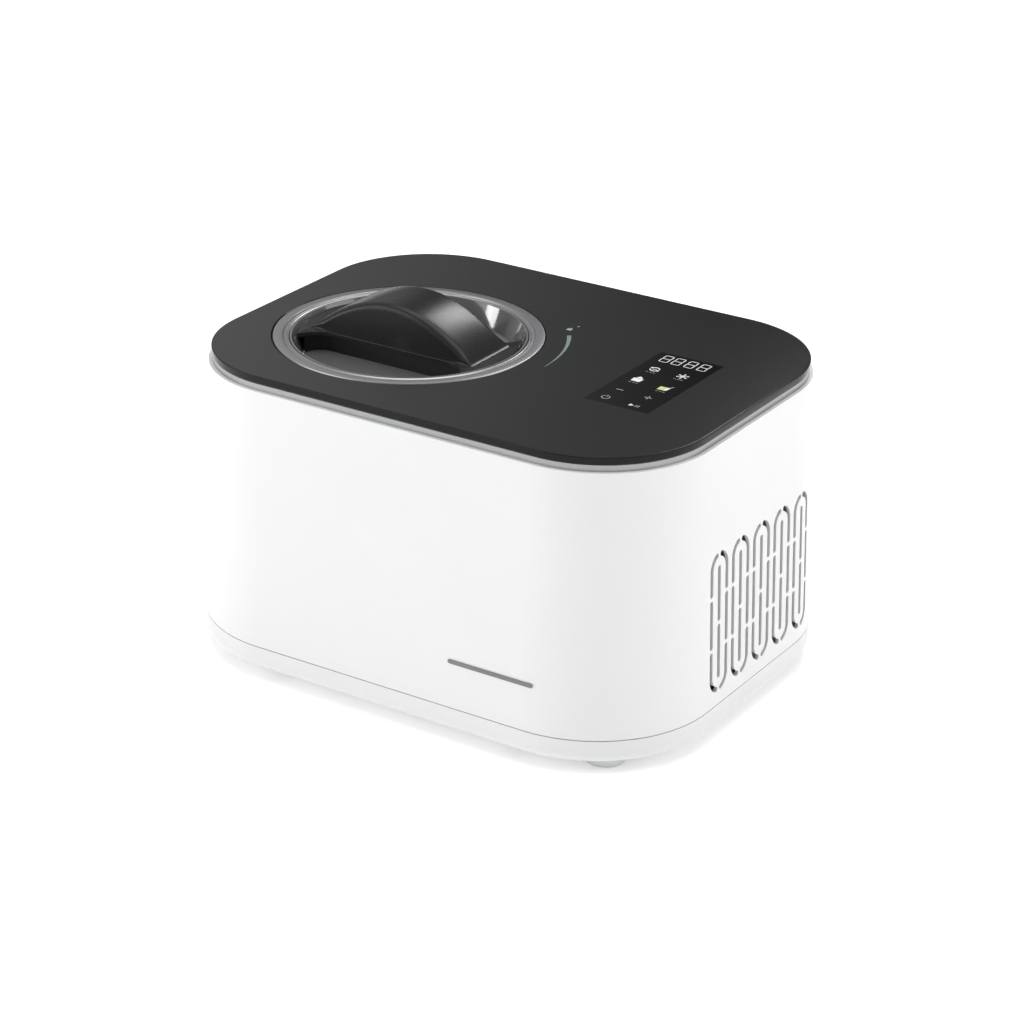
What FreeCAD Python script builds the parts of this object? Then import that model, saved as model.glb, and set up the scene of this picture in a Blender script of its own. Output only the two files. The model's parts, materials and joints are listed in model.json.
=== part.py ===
import FreeCAD, Part
import math
import os

os.makedirs("parts", exist_ok=True)

V = FreeCAD.Vector
UP = V(0, 0, 1)
RIGHT = V(1, 0, 0)
BACK = V(0, 1, 0)

# ---------------------------------------------------------------- driving dimensions (mm)
# The origin is on the ground under the middle of the machine. +X is the long side's
# direction, the badge faces -Y and +Z is up.

FEET_TOP = 8.0
SEAM_Z = 25.0
SHELL_TOP = 208.0
GLASS_BOTTOM = 213.0
GLASS_TOP = 218.0

GLASS_HALF_X = 185.0
GLASS_HALF_Y = 139.5
GLASS_CORNER = 78.3
TRIM_INSET = 0.6
SHELL_TOP_HALF_X = 187.0
SHELL_TOP_HALF_Y = 141.5
SHELL_TOP_CORNER = 80.3
SHELL_FLARE = 6.5
SHELL_WALL = 2.5

LID_X = -70.5
LID_Y = -17.5

RING_INNER = 81.3
RING_OUTER = 92.5
RING_PROUD = 0.3
GLASS_OPENING = 93.1
RECESS_FLOOR = 201.0
LID_OUTER = 80.9

BOWL_INNER = 72.0
BOWL_WALL = 1.5
BOWL_FLOOR = 83.0
BOWL_RIM = 185.0
BOWL_RIM_RADIUS = 77.3
BOWL_TUBE = 9.5
BOWL_TUBE_TOP = 150.0
DRUM_INNER = 74.3
DRUM_WALL = 1.5
DRUM_FLOOR = 78.0
COIL_TUBE = 3.0
FOAM_INNER = 82.3
FOAM_OUTER = 96.0

SHAFT_RADIUS = 5.0
SHAFT_TOP = 166.0
SHAFT_BOTTOM = 37.0
GEAR_MODULE = 1.5
OUTPUT_TEETH = 42
PINION_TEETH = 14
GEAR_BOTTOM = 49.0
GEAR_TOP = 58.0
BOX_BOTTOM = 44.0
BOX_TOP = 64.0
BOX_WALL = 2.5

FAN_X = 160.0
FAN_Y = 11.5
FAN_Z = 84.0
FAN_SIDE = 92.0
FAN_DEPTH = 24.0

COMPRESSOR_X = 72.0
COMPRESSOR_Y = 30.0
COMPRESSOR_RADIUS = 40.0
CONDENSER_X = 133.0

DISPLAY_X = 112.0
DISPLAY_HALF_X = 24.0
DISPLAY_HALF_Y = 50.0
WINDOW_DEPTH = 1.5

FOOT_X = 147.0
FOOT_Y = 110.0

GLAND_X = 60.0
GLAND_Z = 45.0
GLAND_BORE = 4.0

CORNERS = [(1, -1), (1, 1), (-1, 1), (-1, -1)]
CORNER_NAMES = ["front_right", "rear_right", "rear_left", "front_left"]
CLEAR = 0.4


# ---------------------------------------------------------------- shape helpers
def cylinder(radius, bottom, top, x=0.0, y=0.0):
    return Part.makeCylinder(radius, top - bottom, V(x, y, bottom), UP)


def ring(inner, outer, bottom, top, x=LID_X, y=LID_Y):
    hole = cylinder(inner, bottom - 1, top + 1, x, y)
    return cylinder(outer, bottom, top, x, y).cut(hole)


def cylinder_along(direction, radius, length, start):
    return Part.makeCylinder(radius, length, start, direction)


def block(x0, x1, y0, y1, z0, z1):
    return Part.makeBox(x1 - x0, y1 - y0, z1 - z0, V(x0, y0, z0))


def rounded_outline(half_x, half_y, corner, z):
    flat_x = half_x - corner
    flat_y = half_y - corner
    diagonal = corner * math.sqrt(0.5)
    edges = []
    centres = [(flat_x, -flat_y, -90), (flat_x, flat_y, 0), (-flat_x, flat_y, 90), (-flat_x, -flat_y, 180)]
    ends = []
    for cx, cy, start in centres:
        points = []
        for angle in (start, start + 45, start + 90):
            turn = math.radians(angle)
            points.append(V(cx + corner * math.cos(turn), cy + corner * math.sin(turn), z))
        ends.append(points)
    for index, points in enumerate(ends):
        edges.append(Part.Arc(points[0], points[1], points[2]).toShape())
        following = ends[(index + 1) % len(ends)]
        edges.append(Part.LineSegment(points[2], following[0]).toShape())
    return Part.Wire(edges)


def rounded_slab(half_x, half_y, corner, bottom, top):
    face = Part.Face(rounded_outline(half_x, half_y, corner, bottom))
    return face.extrude(V(0, 0, top - bottom))


def tapered_casing(lower, upper, bottom, top):
    """A rounded block whose walls lean in: a cone at each corner and two tapered prisms between."""
    half_x, half_y, corner = lower
    shrink = corner - upper[2]
    flat_x = half_x - corner
    flat_y = half_y - corner
    parts = []
    for sx, sy in CORNERS:
        parts.append(Part.makeCone(corner, upper[2], top - bottom, V(sx * flat_x, sy * flat_y, bottom), UP))
    across = [V(-half_x, -flat_y, bottom), V(half_x, -flat_y, bottom),
              V(half_x - shrink, -flat_y, top), V(shrink - half_x, -flat_y, top)]
    parts.append(Part.Face(Part.makePolygon(across + across[:1])).extrude(V(0, 2 * flat_y, 0)))
    along = [V(-flat_x, -half_y, bottom), V(-flat_x, half_y, bottom),
             V(-flat_x, half_y - shrink, top), V(-flat_x, shrink - half_y, top)]
    parts.append(Part.Face(Part.makePolygon(along + along[:1])).extrude(V(2 * flat_x, 0, 0)))
    return join(parts)


def join(shapes):
    whole = shapes[0]
    if len(shapes) > 1:
        whole = whole.fuse(shapes[1:])
    return whole.removeSplitter()


def group(shapes):
    return Part.makeCompound(shapes)


def turned(shape, degrees, x=LID_X, y=LID_Y):
    copy = shape.copy()
    copy.rotate(V(x, y, 0), UP, degrees)
    return copy


def export(name, shape):
    if shape.ShapeType == "Compound" and len(shape.Solids) == 1:
        shape = shape.Solids[0]
    assert shape.isValid(), name
    assert shape.Solids, name
    shape.exportStep("parts/" + name + ".step")
    print(name, len(shape.Solids), round(shape.Volume / 1000.0, 2), "cm3")


def polygon_prism(points, bottom, top):
    corners = [V(x, y, bottom) for x, y in points]
    return Part.Face(Part.makePolygon(corners + corners[:1])).extrude(V(0, 0, top - bottom))


def tube_path(points, bend):
    """Straight runs joined by arcs that are tangent to both runs."""
    edges = []
    here = points[0]
    for index in range(1, len(points) - 1):
        before = (points[index - 1] - points[index]).normalize()
        after = (points[index + 1] - points[index]).normalize()
        half = 0.5 * before.getAngle(after)
        reach = bend / math.tan(half)
        enter = points[index] + before * reach
        leave = points[index] + after * reach
        middle = points[index] + (before + after).normalize() * (bend / math.sin(half) - bend)
        edges.append(Part.LineSegment(here, enter).toShape())
        edges.append(Part.Arc(enter, middle, leave).toShape())
        here = leave
    edges.append(Part.LineSegment(here, points[-1]).toShape())
    return Part.Wire(edges)


def tube(points, radius, bend):
    path = tube_path(points, bend)
    direction = (points[1] - points[0]).normalize()
    profile = Part.Wire([Part.makeCircle(radius, points[0], direction)])
    return path.makePipeShell([profile], True, False)


# ---------------------------------------------------------------- outer casing
def shell_inset(z, inset):
    """Half sizes and corner of the tapered casing at a height, moved in by inset."""
    share = (SHELL_TOP - z) / (SHELL_TOP - SEAM_Z)
    grow = SHELL_FLARE * share - inset
    return (SHELL_TOP_HALF_X + grow, SHELL_TOP_HALF_Y + grow, SHELL_TOP_CORNER + grow)


VENT_PITCH = 28.3
VENT_LOOPS = 5
VENT_FIRST_Y = -45.1
VENT_HALF = 9.8
VENT_BOTTOM = 36.0
VENT_TOP = 132.0
VENT_SLOT = 1.9
VENT_GAP = 2.9
VENT_UPPER_GAP = 103.2
VENT_LOWER_GAP = 66.2
VENT_MIDDLE_GAP = 83.7
VENT_APEX_DEG = 18.0
CUT_X = 176.0
CUT_LENGTH = 24.0


def vent_point(y_centre, z_centre, radius, degrees):
    """A point on a circle in the cutting plane; 0 degrees is towards +Y and 90 is up."""
    turn = math.radians(degrees)
    return V(CUT_X, y_centre + radius * math.cos(turn), z_centre + radius * math.sin(turn))


def vent_prism(edges):
    return Part.Face(Part.Wire(edges)).extrude(V(CUT_LENGTH, 0, 0))


def vent_arc(y_centre, z_centre, radius, first, last):
    points = [vent_point(y_centre, z_centre, radius, angle) for angle in (first, 0.5 * (first + last), last)]
    return Part.Arc(*points).toShape()


def vent_straight(y, low, high):
    top = vent_arc(y, high, VENT_SLOT, 0, 180)
    bottom = vent_arc(y, low, VENT_SLOT, 180, 360)
    left = Part.LineSegment(V(CUT_X, y - VENT_SLOT, high), V(CUT_X, y - VENT_SLOT, low)).toShape()
    right = Part.LineSegment(V(CUT_X, y + VENT_SLOT, low), V(CUT_X, y + VENT_SLOT, high)).toShape()
    return vent_prism([top, left, bottom, right])


def vent_hook(y_centre, side, straight_end, bend_z, upward):
    """A straight run that turns most of a quarter circle towards the loop's apex."""
    outer = VENT_HALF + VENT_SLOT
    inner = VENT_HALF - VENT_SLOT
    rise = 90.0 - VENT_APEX_DEG
    run = abs(straight_end - bend_z)
    tip = vent_point(0, 0, VENT_HALF, rise)
    edges = [
        Part.LineSegment(V(CUT_X, outer, -run), V(CUT_X, outer, 0)).toShape(),
        vent_arc(0, 0, outer, 0, rise),
        vent_arc(tip.y, tip.z, VENT_SLOT, rise, rise + 180),
        vent_arc(0, 0, inner, rise, 0),
        Part.LineSegment(V(CUT_X, inner, 0), V(CUT_X, inner, -run)).toShape(),
        vent_arc(VENT_HALF, -run, VENT_SLOT, 180, 360),
    ]
    hook = vent_prism(edges)
    if side < 0:
        hook = hook.mirror(V(0, 0, 0), BACK)
    if upward < 0:
        hook = hook.mirror(V(0, 0, 0), UP)
    hook.translate(V(0, y_centre, bend_z))
    return hook


def vent_loop(y_centre):
    slots = []
    for side in (-1, 1):
        middle_y = y_centre + side * VENT_HALF
        slots.append(vent_hook(y_centre, side, VENT_UPPER_GAP + VENT_GAP, VENT_TOP - VENT_HALF, 1))
        slots.append(vent_straight(middle_y, VENT_LOWER_GAP + VENT_GAP, VENT_UPPER_GAP - VENT_GAP))
        slots.append(vent_hook(y_centre, side, VENT_LOWER_GAP - VENT_GAP, VENT_BOTTOM + VENT_HALF, -1))
    slots.append(vent_straight(y_centre, VENT_MIDDLE_GAP + VENT_GAP, VENT_TOP - VENT_HALF))
    slots.append(vent_straight(y_centre, VENT_BOTTOM + VENT_HALF, VENT_MIDDLE_GAP - VENT_GAP))
    return slots


def vent_cutters():
    right = []
    for loop in range(VENT_LOOPS):
        right.extend(vent_loop(VENT_FIRST_Y + loop * VENT_PITCH))
    left = [slot.mirror(V(0, 0, 0), RIGHT) for slot in right]
    return group(right + left)


POST_X = 95.0
POST_Y = 136.5
POST_RADIUS = 5.0
WEB_REACH = 145.6
POST_TOP = 60.0
POST_HOLE_TOP = 32.0
WEB_HALF = 1.0
WEB_BOTTOM = 40.0
SHELL_LIP = 16.0
PAN_FLOOR = 11.0
SCREW_SHANK = 1.6
SCREW_HOLE = 1.7


def body_shell():
    outer = tapered_casing(shell_inset(SEAM_Z, 0), shell_inset(SHELL_TOP, 0), SEAM_Z, SHELL_TOP)
    lip_z = SHELL_TOP - SHELL_WALL
    inner = tapered_casing(shell_inset(SEAM_Z, SHELL_WALL), shell_inset(lip_z, SHELL_WALL), SEAM_Z, lip_z)
    mouth = rounded_slab(GLASS_HALF_X - SHELL_LIP, GLASS_HALF_Y - SHELL_LIP, GLASS_CORNER - SHELL_LIP,
                         lip_z - 1, SHELL_TOP + 1)
    shell = outer.cut(inner).cut(mouth)
    posts = []
    for sx, sy in CORNERS:
        post = cylinder(POST_RADIUS, PAN_FLOOR, POST_TOP, sx * POST_X, sy * POST_Y)
        near, far = sorted((sy * POST_Y, sy * WEB_REACH))
        web = block(sx * POST_X - WEB_HALF, sx * POST_X + WEB_HALF, near, far, WEB_BOTTOM, POST_TOP)
        posts.extend([post, web])
    shell = join([shell] + posts)
    for sx, sy in CORNERS:
        shell = shell.cut(cylinder(SCREW_HOLE, PAN_FLOOR - 1, POST_HOLE_TOP, sx * POST_X, sy * POST_Y))
    inside = V(GLAND_X, GLAND_INNER_END, GLAND_Z)
    shell = shell.cut(cylinder_along(BACK, GLAND_OUTER + GLAND_GAP, 2 * GLAND_LENGTH, inside))
    return shell.cut(vent_cutters())


GLAND_OUTER = 8.0
GLAND_INNER_END = 136.0
GLAND_LENGTH = 11.9
GLAND_GAP = 0.2
GLAND_FLANGE = 11.0
GLAND_FLANGE_Y = 139.5
GLAND_FLANGE_THICK = 3.0


def cord_gland():
    start = V(GLAND_X, GLAND_INNER_END, GLAND_Z)
    shank = cylinder_along(BACK, GLAND_OUTER, GLAND_LENGTH, start)
    flange = cylinder_along(BACK, GLAND_FLANGE, GLAND_FLANGE_THICK, V(GLAND_X, GLAND_FLANGE_Y, GLAND_Z))
    bore = cylinder_along(BACK, GLAND_BORE, 3 * GLAND_LENGTH, start - BACK * GLAND_LENGTH)
    return join([shank, flange]).cut(bore)


PAN_GAP = 0.7
PAN_EDGE = 6.0
PAN_WALL = 3.0
BOARD_SPOTS = [(48.0, -112.0), (112.0, -112.0), (112.0, -72.0), (48.0, -72.0)]
BOARD_POST_TOP = 26.0
GROMMET_SPOTS = [(42.0, 0.0), (102.0, 0.0), (102.0, 60.0), (42.0, 60.0)]
GROMMET_BOSS_TOP = 14.0
GROMMET_BOSS_RADIUS = 8.0
BOARD_POST_RADIUS = 4.0
PILOT_HOLE = 1.3
FOOT_BOSS_RADIUS = 7.0
FOOT_BOSS_TOP = 17.0
TONGUE_GAP = 0.8
TONGUE_THICK = 2.0
TONGUE_TOP = 32.0


def base_pan():
    half_x, half_y, corner = shell_inset(SEAM_Z, 0)
    outer = rounded_slab(half_x, half_y, corner, FEET_TOP, SEAM_Z - PAN_GAP)
    bottom_edges = [edge for edge in outer.Edges if edge.BoundBox.ZMax < FEET_TOP + 0.01]
    outer = outer.makeFillet(PAN_EDGE, bottom_edges)
    pan = outer.cut(rounded_slab(*shell_inset(SEAM_Z, PAN_WALL), PAN_FLOOR, SEAM_Z + 1))
    tongue = rounded_slab(*shell_inset(SEAM_Z, SHELL_WALL + TONGUE_GAP), PAN_FLOOR, TONGUE_TOP)
    tongue_inside = shell_inset(SEAM_Z, SHELL_WALL + TONGUE_GAP + TONGUE_THICK)
    tongue = tongue.cut(rounded_slab(*tongue_inside, PAN_FLOOR - 1, TONGUE_TOP + 1))
    bosses = []
    holes = []
    for sx, sy in CORNERS:
        bosses.append(cylinder(FOOT_BOSS_RADIUS, PAN_FLOOR - 1, FOOT_BOSS_TOP, sx * FOOT_X, sy * FOOT_Y))
        holes.append(cylinder(SCREW_HOLE, 0, FOOT_BOSS_TOP - 1, sx * FOOT_X, sy * FOOT_Y))
        holes.append(cylinder(SCREW_HOLE, 0, PAN_FLOOR + 1, sx * POST_X, sy * POST_Y))
    for x, y in BOARD_SPOTS:
        bosses.append(cylinder(BOARD_POST_RADIUS, PAN_FLOOR - 1, BOARD_POST_TOP, x, y))
        holes.append(cylinder(PILOT_HOLE, PAN_FLOOR + PAN_WALL, BOARD_POST_TOP + 1, x, y))
    for x, y in GROMMET_SPOTS:
        bosses.append(cylinder(GROMMET_BOSS_RADIUS, PAN_FLOOR - 1, GROMMET_BOSS_TOP, x, y))
    for x, y in bracket_feet():
        bosses.append(cylinder(BRACKET_BOSS_RADIUS, PAN_FLOOR - 1, BRACKET_BOSS_TOP, x, y))
        holes.append(cylinder(PILOT_HOLE, PAN_FLOOR, BRACKET_BOSS_TOP + 1, x, y))
    return join([pan, tongue] + bosses).cut(group(holes))


FOOT_TOP_RADIUS = 19.0
FOOT_BOTTOM_RADIUS = 13.5
FOOT_RECESS_RADIUS = 5.0
FOOT_RECESS = 4.5
FOOT_HOLE = 2.0
# Each screw: bottom of the head, height of the head, radius of the head, tip.
FOOT_SCREW = (2.0, 2.5, 4.0, 15.0)
BASE_SCREW = (5.8, 2.2, 3.6, 30.0)
DRIVE_HALF = 0.5
DRIVE_DEPTH = 0.8
DRIVE_SHARE = 0.6


def foot(x, y):
    cone = Part.makeCone(FOOT_BOTTOM_RADIUS, FOOT_TOP_RADIUS, FEET_TOP, V(x, y, 0), UP)
    recess = cylinder(FOOT_RECESS_RADIUS, -1, FOOT_RECESS, x, y)
    hole = cylinder(FOOT_HOLE, 0, FEET_TOP + 1, x, y)
    return cone.cut(recess).cut(hole)


def screw(x, y, head_bottom, head_height, head_radius, tip):
    """A screw that points up, with a cross cut in its head."""
    head = cylinder(head_radius, head_bottom, head_bottom + head_height, x, y)
    reach = head_radius * DRIVE_SHARE
    slot_top = head_bottom + DRIVE_DEPTH
    drive = block(x - DRIVE_HALF, x + DRIVE_HALF, y - reach, y + reach, head_bottom - 1, slot_top)
    drive = drive.fuse(turned(drive, 90, x, y))
    shank = cylinder(SCREW_SHANK, head_bottom + 0.5 * head_height, tip, x, y)
    return join([head.cut(drive), shank])


def foot_screws():
    return group([screw(sx * FOOT_X, sy * FOOT_Y, *FOOT_SCREW) for sx, sy in CORNERS])


def base_screws():
    return group([screw(sx * POST_X, sy * POST_Y, *BASE_SCREW) for sx, sy in CORNERS])


TRIM_WIDTH = 13.0
TRIM_CHAMFER = 0.6
GLASS_CHAMFER = 0.5
WINDOW_GAP = 0.15


def trim_frame():
    half_x = GLASS_HALF_X - TRIM_INSET
    half_y = GLASS_HALF_Y - TRIM_INSET
    corner = GLASS_CORNER - TRIM_INSET
    outer = rounded_slab(half_x, half_y, corner, SHELL_TOP, GLASS_BOTTOM)
    top_edges = [edge for edge in outer.Edges if edge.BoundBox.ZMin > GLASS_BOTTOM - 0.01]
    outer = outer.makeChamfer(TRIM_CHAMFER, top_edges)
    hole = rounded_slab(half_x - TRIM_WIDTH, half_y - TRIM_WIDTH, corner - TRIM_WIDTH,
                        SHELL_TOP - 1, GLASS_BOTTOM + 1)
    return outer.cut(hole)


def glass_top():
    slab = rounded_slab(GLASS_HALF_X, GLASS_HALF_Y, GLASS_CORNER, GLASS_BOTTOM, GLASS_TOP)
    rim = [edge for edge in slab.Edges
           if edge.BoundBox.ZMin > GLASS_TOP - 0.01 or edge.BoundBox.ZMax < GLASS_BOTTOM + 0.01]
    slab = slab.makeChamfer(GLASS_CHAMFER, rim)
    opening = cylinder(GLASS_OPENING, GLASS_BOTTOM - 1, GLASS_TOP + 1, LID_X, LID_Y)
    pocket = block(DISPLAY_X - DISPLAY_HALF_X, DISPLAY_X + DISPLAY_HALF_X, -DISPLAY_HALF_Y, DISPLAY_HALF_Y,
                   GLASS_TOP - WINDOW_DEPTH, GLASS_TOP + 1)
    return slab.cut(opening).cut(pocket)


def display_window():
    half_x = DISPLAY_HALF_X - WINDOW_GAP
    half_y = DISPLAY_HALF_Y - WINDOW_GAP
    return block(DISPLAY_X - half_x, DISPLAY_X + half_x, -half_y, half_y, GLASS_TOP - WINDOW_DEPTH, GLASS_TOP)


BADGE_X = 81.2
BADGE_Z = 58.0
BADGE_LENGTH = 65.0
BADGE_HEIGHT = 3.0
BADGE_DEPTH = 0.5


def front_badge():
    """A slim blank bar that follows the slope of the front wall."""
    face_y = -shell_inset(BADGE_Z, 0)[1]
    tilt = math.degrees(math.atan(SHELL_FLARE / (SHELL_TOP - SEAM_Z)))
    round_end = 0.5 * BADGE_HEIGHT
    reach = 0.5 * BADGE_LENGTH - round_end
    bar = block(BADGE_X - reach, BADGE_X + reach, 0, BADGE_DEPTH, -round_end, round_end)
    ends = [cylinder_along(BACK, round_end, BADGE_DEPTH, V(BADGE_X + side * reach, 0, 0)) for side in (-1, 1)]
    badge = join([bar] + ends)
    badge.rotate(V(BADGE_X, BADGE_DEPTH, 0), RIGHT, -tilt)
    badge.translate(V(0, face_y - BADGE_DEPTH, BADGE_Z))
    return badge


# ---------------------------------------------------------------- lid well
COLLAR_INNER = 83.1
COLLAR_OUTER = 86.5
COLLAR_BOTTOM = 183.0
CATCH_INNER = 77.9
CATCH_BOTTOM = 194.2
CATCH_TOP = 197.8
CATCH_COUNT = 3
LUG_HALF_DEG = 10.0
LUG_OUTER = 80.5
LUG_BOTTOM = 190.2
LUG_TOP = 193.8
CATCH_START_DEG = 14.0
CATCH_END_DEG = 52.0
STOP_HALF_DEG = 2.0
STOP_DEG = 53.0
LUG_FIRST_DEG = 90.0
COLLAR_SCREW_RADIUS = 94.5
COLLAR_SCREW_COUNT = 4
COLLAR_SCREW_FIRST_DEG = 45.0
COLLAR_SCREW = (200.6, 2.2, 3.6, 210.5)
COLLAR_HOLE_TOP = 212.0
COLLAR_FLANGE = 100.0
COLLAR_FLANGE_BOTTOM = 209.6
TAB_RADIUS = 5.0
TAB_BOTTOM = 203.0
TAB_TOP = 210.0
BEZEL_SEAT = 215.0


def sector(inner, outer, bottom, top, start_deg, end_deg):
    sweep = end_deg - start_deg
    wedge = Part.makeCylinder(outer, top - bottom, V(LID_X, LID_Y, bottom), UP, sweep)
    wedge = turned(wedge, start_deg)
    return wedge.cut(cylinder(inner, bottom - 1, top + 1, LID_X, LID_Y))


def lug_middles():
    return [LUG_FIRST_DEG + index * 360.0 / CATCH_COUNT for index in range(CATCH_COUNT)]


def collar_screw_spots():
    spots = []
    for index in range(COLLAR_SCREW_COUNT):
        turn = math.radians(COLLAR_SCREW_FIRST_DEG + 360.0 * index / COLLAR_SCREW_COUNT)
        x = LID_X + COLLAR_SCREW_RADIUS * math.cos(turn)
        y = LID_Y + COLLAR_SCREW_RADIUS * math.sin(turn)
        spots.append((x, y))
    return spots


def well_collar():
    skirt = ring(COLLAR_INNER, COLLAR_OUTER, COLLAR_BOTTOM, GLASS_BOTTOM)
    flange = ring(COLLAR_INNER, COLLAR_FLANGE, COLLAR_FLANGE_BOTTOM, GLASS_BOTTOM)
    pad = ring(COLLAR_INNER, GLASS_OPENING - CLEAR, GLASS_BOTTOM - 1, BEZEL_SEAT)
    parts = [skirt, flange, pad]
    for middle in lug_middles():
        parts.append(sector(CATCH_INNER, COLLAR_INNER + 1, CATCH_BOTTOM, CATCH_TOP,
                            middle + CATCH_START_DEG, middle + CATCH_END_DEG))
        parts.append(sector(CATCH_INNER, COLLAR_INNER + 1, LUG_BOTTOM - 1, CATCH_TOP,
                            middle + STOP_DEG - STOP_HALF_DEG, middle + STOP_DEG + STOP_HALF_DEG))
    for x, y in collar_screw_spots():
        parts.append(cylinder(TAB_RADIUS, TAB_BOTTOM, TAB_TOP, x, y))
    collar = join(parts)
    for x, y in collar_screw_spots():
        collar = collar.cut(cylinder(SCREW_HOLE, TAB_BOTTOM - 1, COLLAR_HOLE_TOP, x, y))
    return collar


BEZEL_CHAMFER = 0.7
BEZEL_SKIRT_OUTER = 82.8
BEZEL_SKIRT_BOTTOM = 204.0


def bezel_ring():
    top = GLASS_TOP + RING_PROUD
    plate = ring(RING_INNER, RING_OUTER, BEZEL_SEAT, top)
    edges = [edge for edge in plate.Edges if edge.BoundBox.ZMin > top - 0.01]
    plate = plate.makeChamfer(BEZEL_CHAMFER, edges)
    skirt = ring(RING_INNER, BEZEL_SKIRT_OUTER, BEZEL_SKIRT_BOTTOM, BEZEL_SEAT + 0.5)
    return join([plate, skirt])


TRAY_THICK = 1.6
TRAY_BOTTOM = 207.8
TRAY_INSET = 17.0
TRAY_WINDOW_HALF = 20.0
TRAY_HOLE_GAP = 0.5


def top_tray():
    """The sheet under the glass that the collar and the display board hang from."""
    top = TRAY_BOTTOM + TRAY_THICK
    tray = rounded_slab(GLASS_HALF_X - TRAY_INSET, GLASS_HALF_Y - TRAY_INSET, GLASS_CORNER - TRAY_INSET,
                        TRAY_BOTTOM, top)
    tray = tray.cut(cylinder(COLLAR_OUTER + TRAY_HOLE_GAP, TRAY_BOTTOM - 1, top + 1, LID_X, LID_Y))
    window = block(DISPLAY_X - TRAY_WINDOW_HALF, DISPLAY_X + TRAY_WINDOW_HALF, -DISPLAY_HALF_Y, DISPLAY_HALF_Y,
                   TRAY_BOTTOM - 1, top + 1)
    tray = tray.cut(window)
    for x, y in collar_screw_spots():
        tray = tray.cut(cylinder(TAB_RADIUS + CLEAR, TRAY_BOTTOM - 1, top + 1, x, y))
    return tray


def collar_screws():
    return group([screw(x, y, *COLLAR_SCREW) for x, y in collar_screw_spots()])


DRUM_FLOOR_THICK = 2.0
DRUM_HOLE = 10.0


def evaporator_drum():
    outer = DRUM_INNER + DRUM_WALL
    wall = ring(DRUM_INNER, outer, DRUM_FLOOR, COLLAR_BOTTOM)
    floor = cylinder(outer, DRUM_FLOOR, DRUM_FLOOR + DRUM_FLOOR_THICK, LID_X, LID_Y)
    flange = ring(DRUM_INNER, COLLAR_OUTER, COLLAR_BOTTOM - DRUM_WALL, COLLAR_BOTTOM)
    drum = join([wall, floor, flange])
    return drum.cut(cylinder(DRUM_HOLE, DRUM_FLOOR - 1, DRUM_FLOOR + DRUM_FLOOR_THICK + 1, LID_X, LID_Y))


COIL_TURNS = 9
COIL_PITCH = 9.6
COIL_FIRST = 92.0
COIL_GAP = 0.1


def evaporator_coil():
    radius = DRUM_INNER + DRUM_WALL + COIL_TUBE + COIL_GAP
    turns = []
    for index in range(COIL_TURNS):
        centre = V(LID_X, LID_Y, COIL_FIRST + index * COIL_PITCH)
        turns.append(Part.makeTorus(radius, COIL_TUBE, centre, UP))
    return group(turns)


PIPE_DEG = 62.0
FOAM_BOTTOM = 67.0
FOAM_TOP = 181.0
FOAM_HOLE = 13.0
FOAM_GAP = 0.3
PIPE_HOLE = 3.6
PIPE_HOLE_LENGTH = 30.0


def foam_insulation():
    block_of_foam = ring(FOAM_INNER, FOAM_OUTER, FOAM_BOTTOM, FOAM_TOP)
    floor = ring(FOAM_HOLE, FOAM_INNER + 1, FOAM_BOTTOM, DRUM_FLOOR - FOAM_GAP)
    foam = join([block_of_foam, floor])
    for height in (COIL_FIRST, COIL_FIRST + (COIL_TURNS - 1) * COIL_PITCH):
        foam = foam.cut(pipe_hole(height))
    return foam


def pipe_direction():
    turn = math.radians(PIPE_DEG)
    return V(math.cos(turn), math.sin(turn), 0)


def pipe_start(height):
    reach = DRUM_INNER + DRUM_WALL + 2 * COIL_TUBE + CLEAR
    return V(LID_X, LID_Y, height) + pipe_direction() * reach


def pipe_hole(height):
    start = pipe_start(height) - pipe_direction() * COIL_TUBE
    return cylinder_along(pipe_direction(), PIPE_HOLE, PIPE_HOLE_LENGTH, start)


# ---------------------------------------------------------------- bowl, paddle and lid
BOWL_FOOT_ROUND = 5.0
BOWL_INSIDE_ROUND = 4.0
BOWL_RIM_THICK = 1.8


def bowl():
    outer = BOWL_INNER + BOWL_WALL
    wall = cylinder(outer, BOWL_FLOOR, BOWL_RIM, LID_X, LID_Y)
    foot_edges = [edge for edge in wall.Edges if edge.BoundBox.ZMax < BOWL_FLOOR + 0.01]
    wall = wall.makeFillet(BOWL_FOOT_ROUND, foot_edges)
    inside = cylinder(BOWL_INNER, BOWL_FLOOR + BOWL_WALL, BOWL_RIM + 1, LID_X, LID_Y)
    floor_edges = [edge for edge in inside.Edges if edge.BoundBox.ZMax < BOWL_FLOOR + BOWL_WALL + 0.01]
    inside = inside.makeFillet(BOWL_INSIDE_ROUND, floor_edges)
    rim = ring(BOWL_INNER + 0.5, BOWL_RIM_RADIUS, BOWL_RIM - BOWL_RIM_THICK, BOWL_RIM)
    tube_wall = cylinder(BOWL_TUBE, BOWL_FLOOR, BOWL_TUBE_TOP, LID_X, LID_Y)
    body = join([wall.cut(inside), rim, tube_wall])
    return body.cut(cylinder(BOWL_TUBE - BOWL_WALL, BOWL_FLOOR - 1, BOWL_TUBE_TOP + 1, LID_X, LID_Y))


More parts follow.
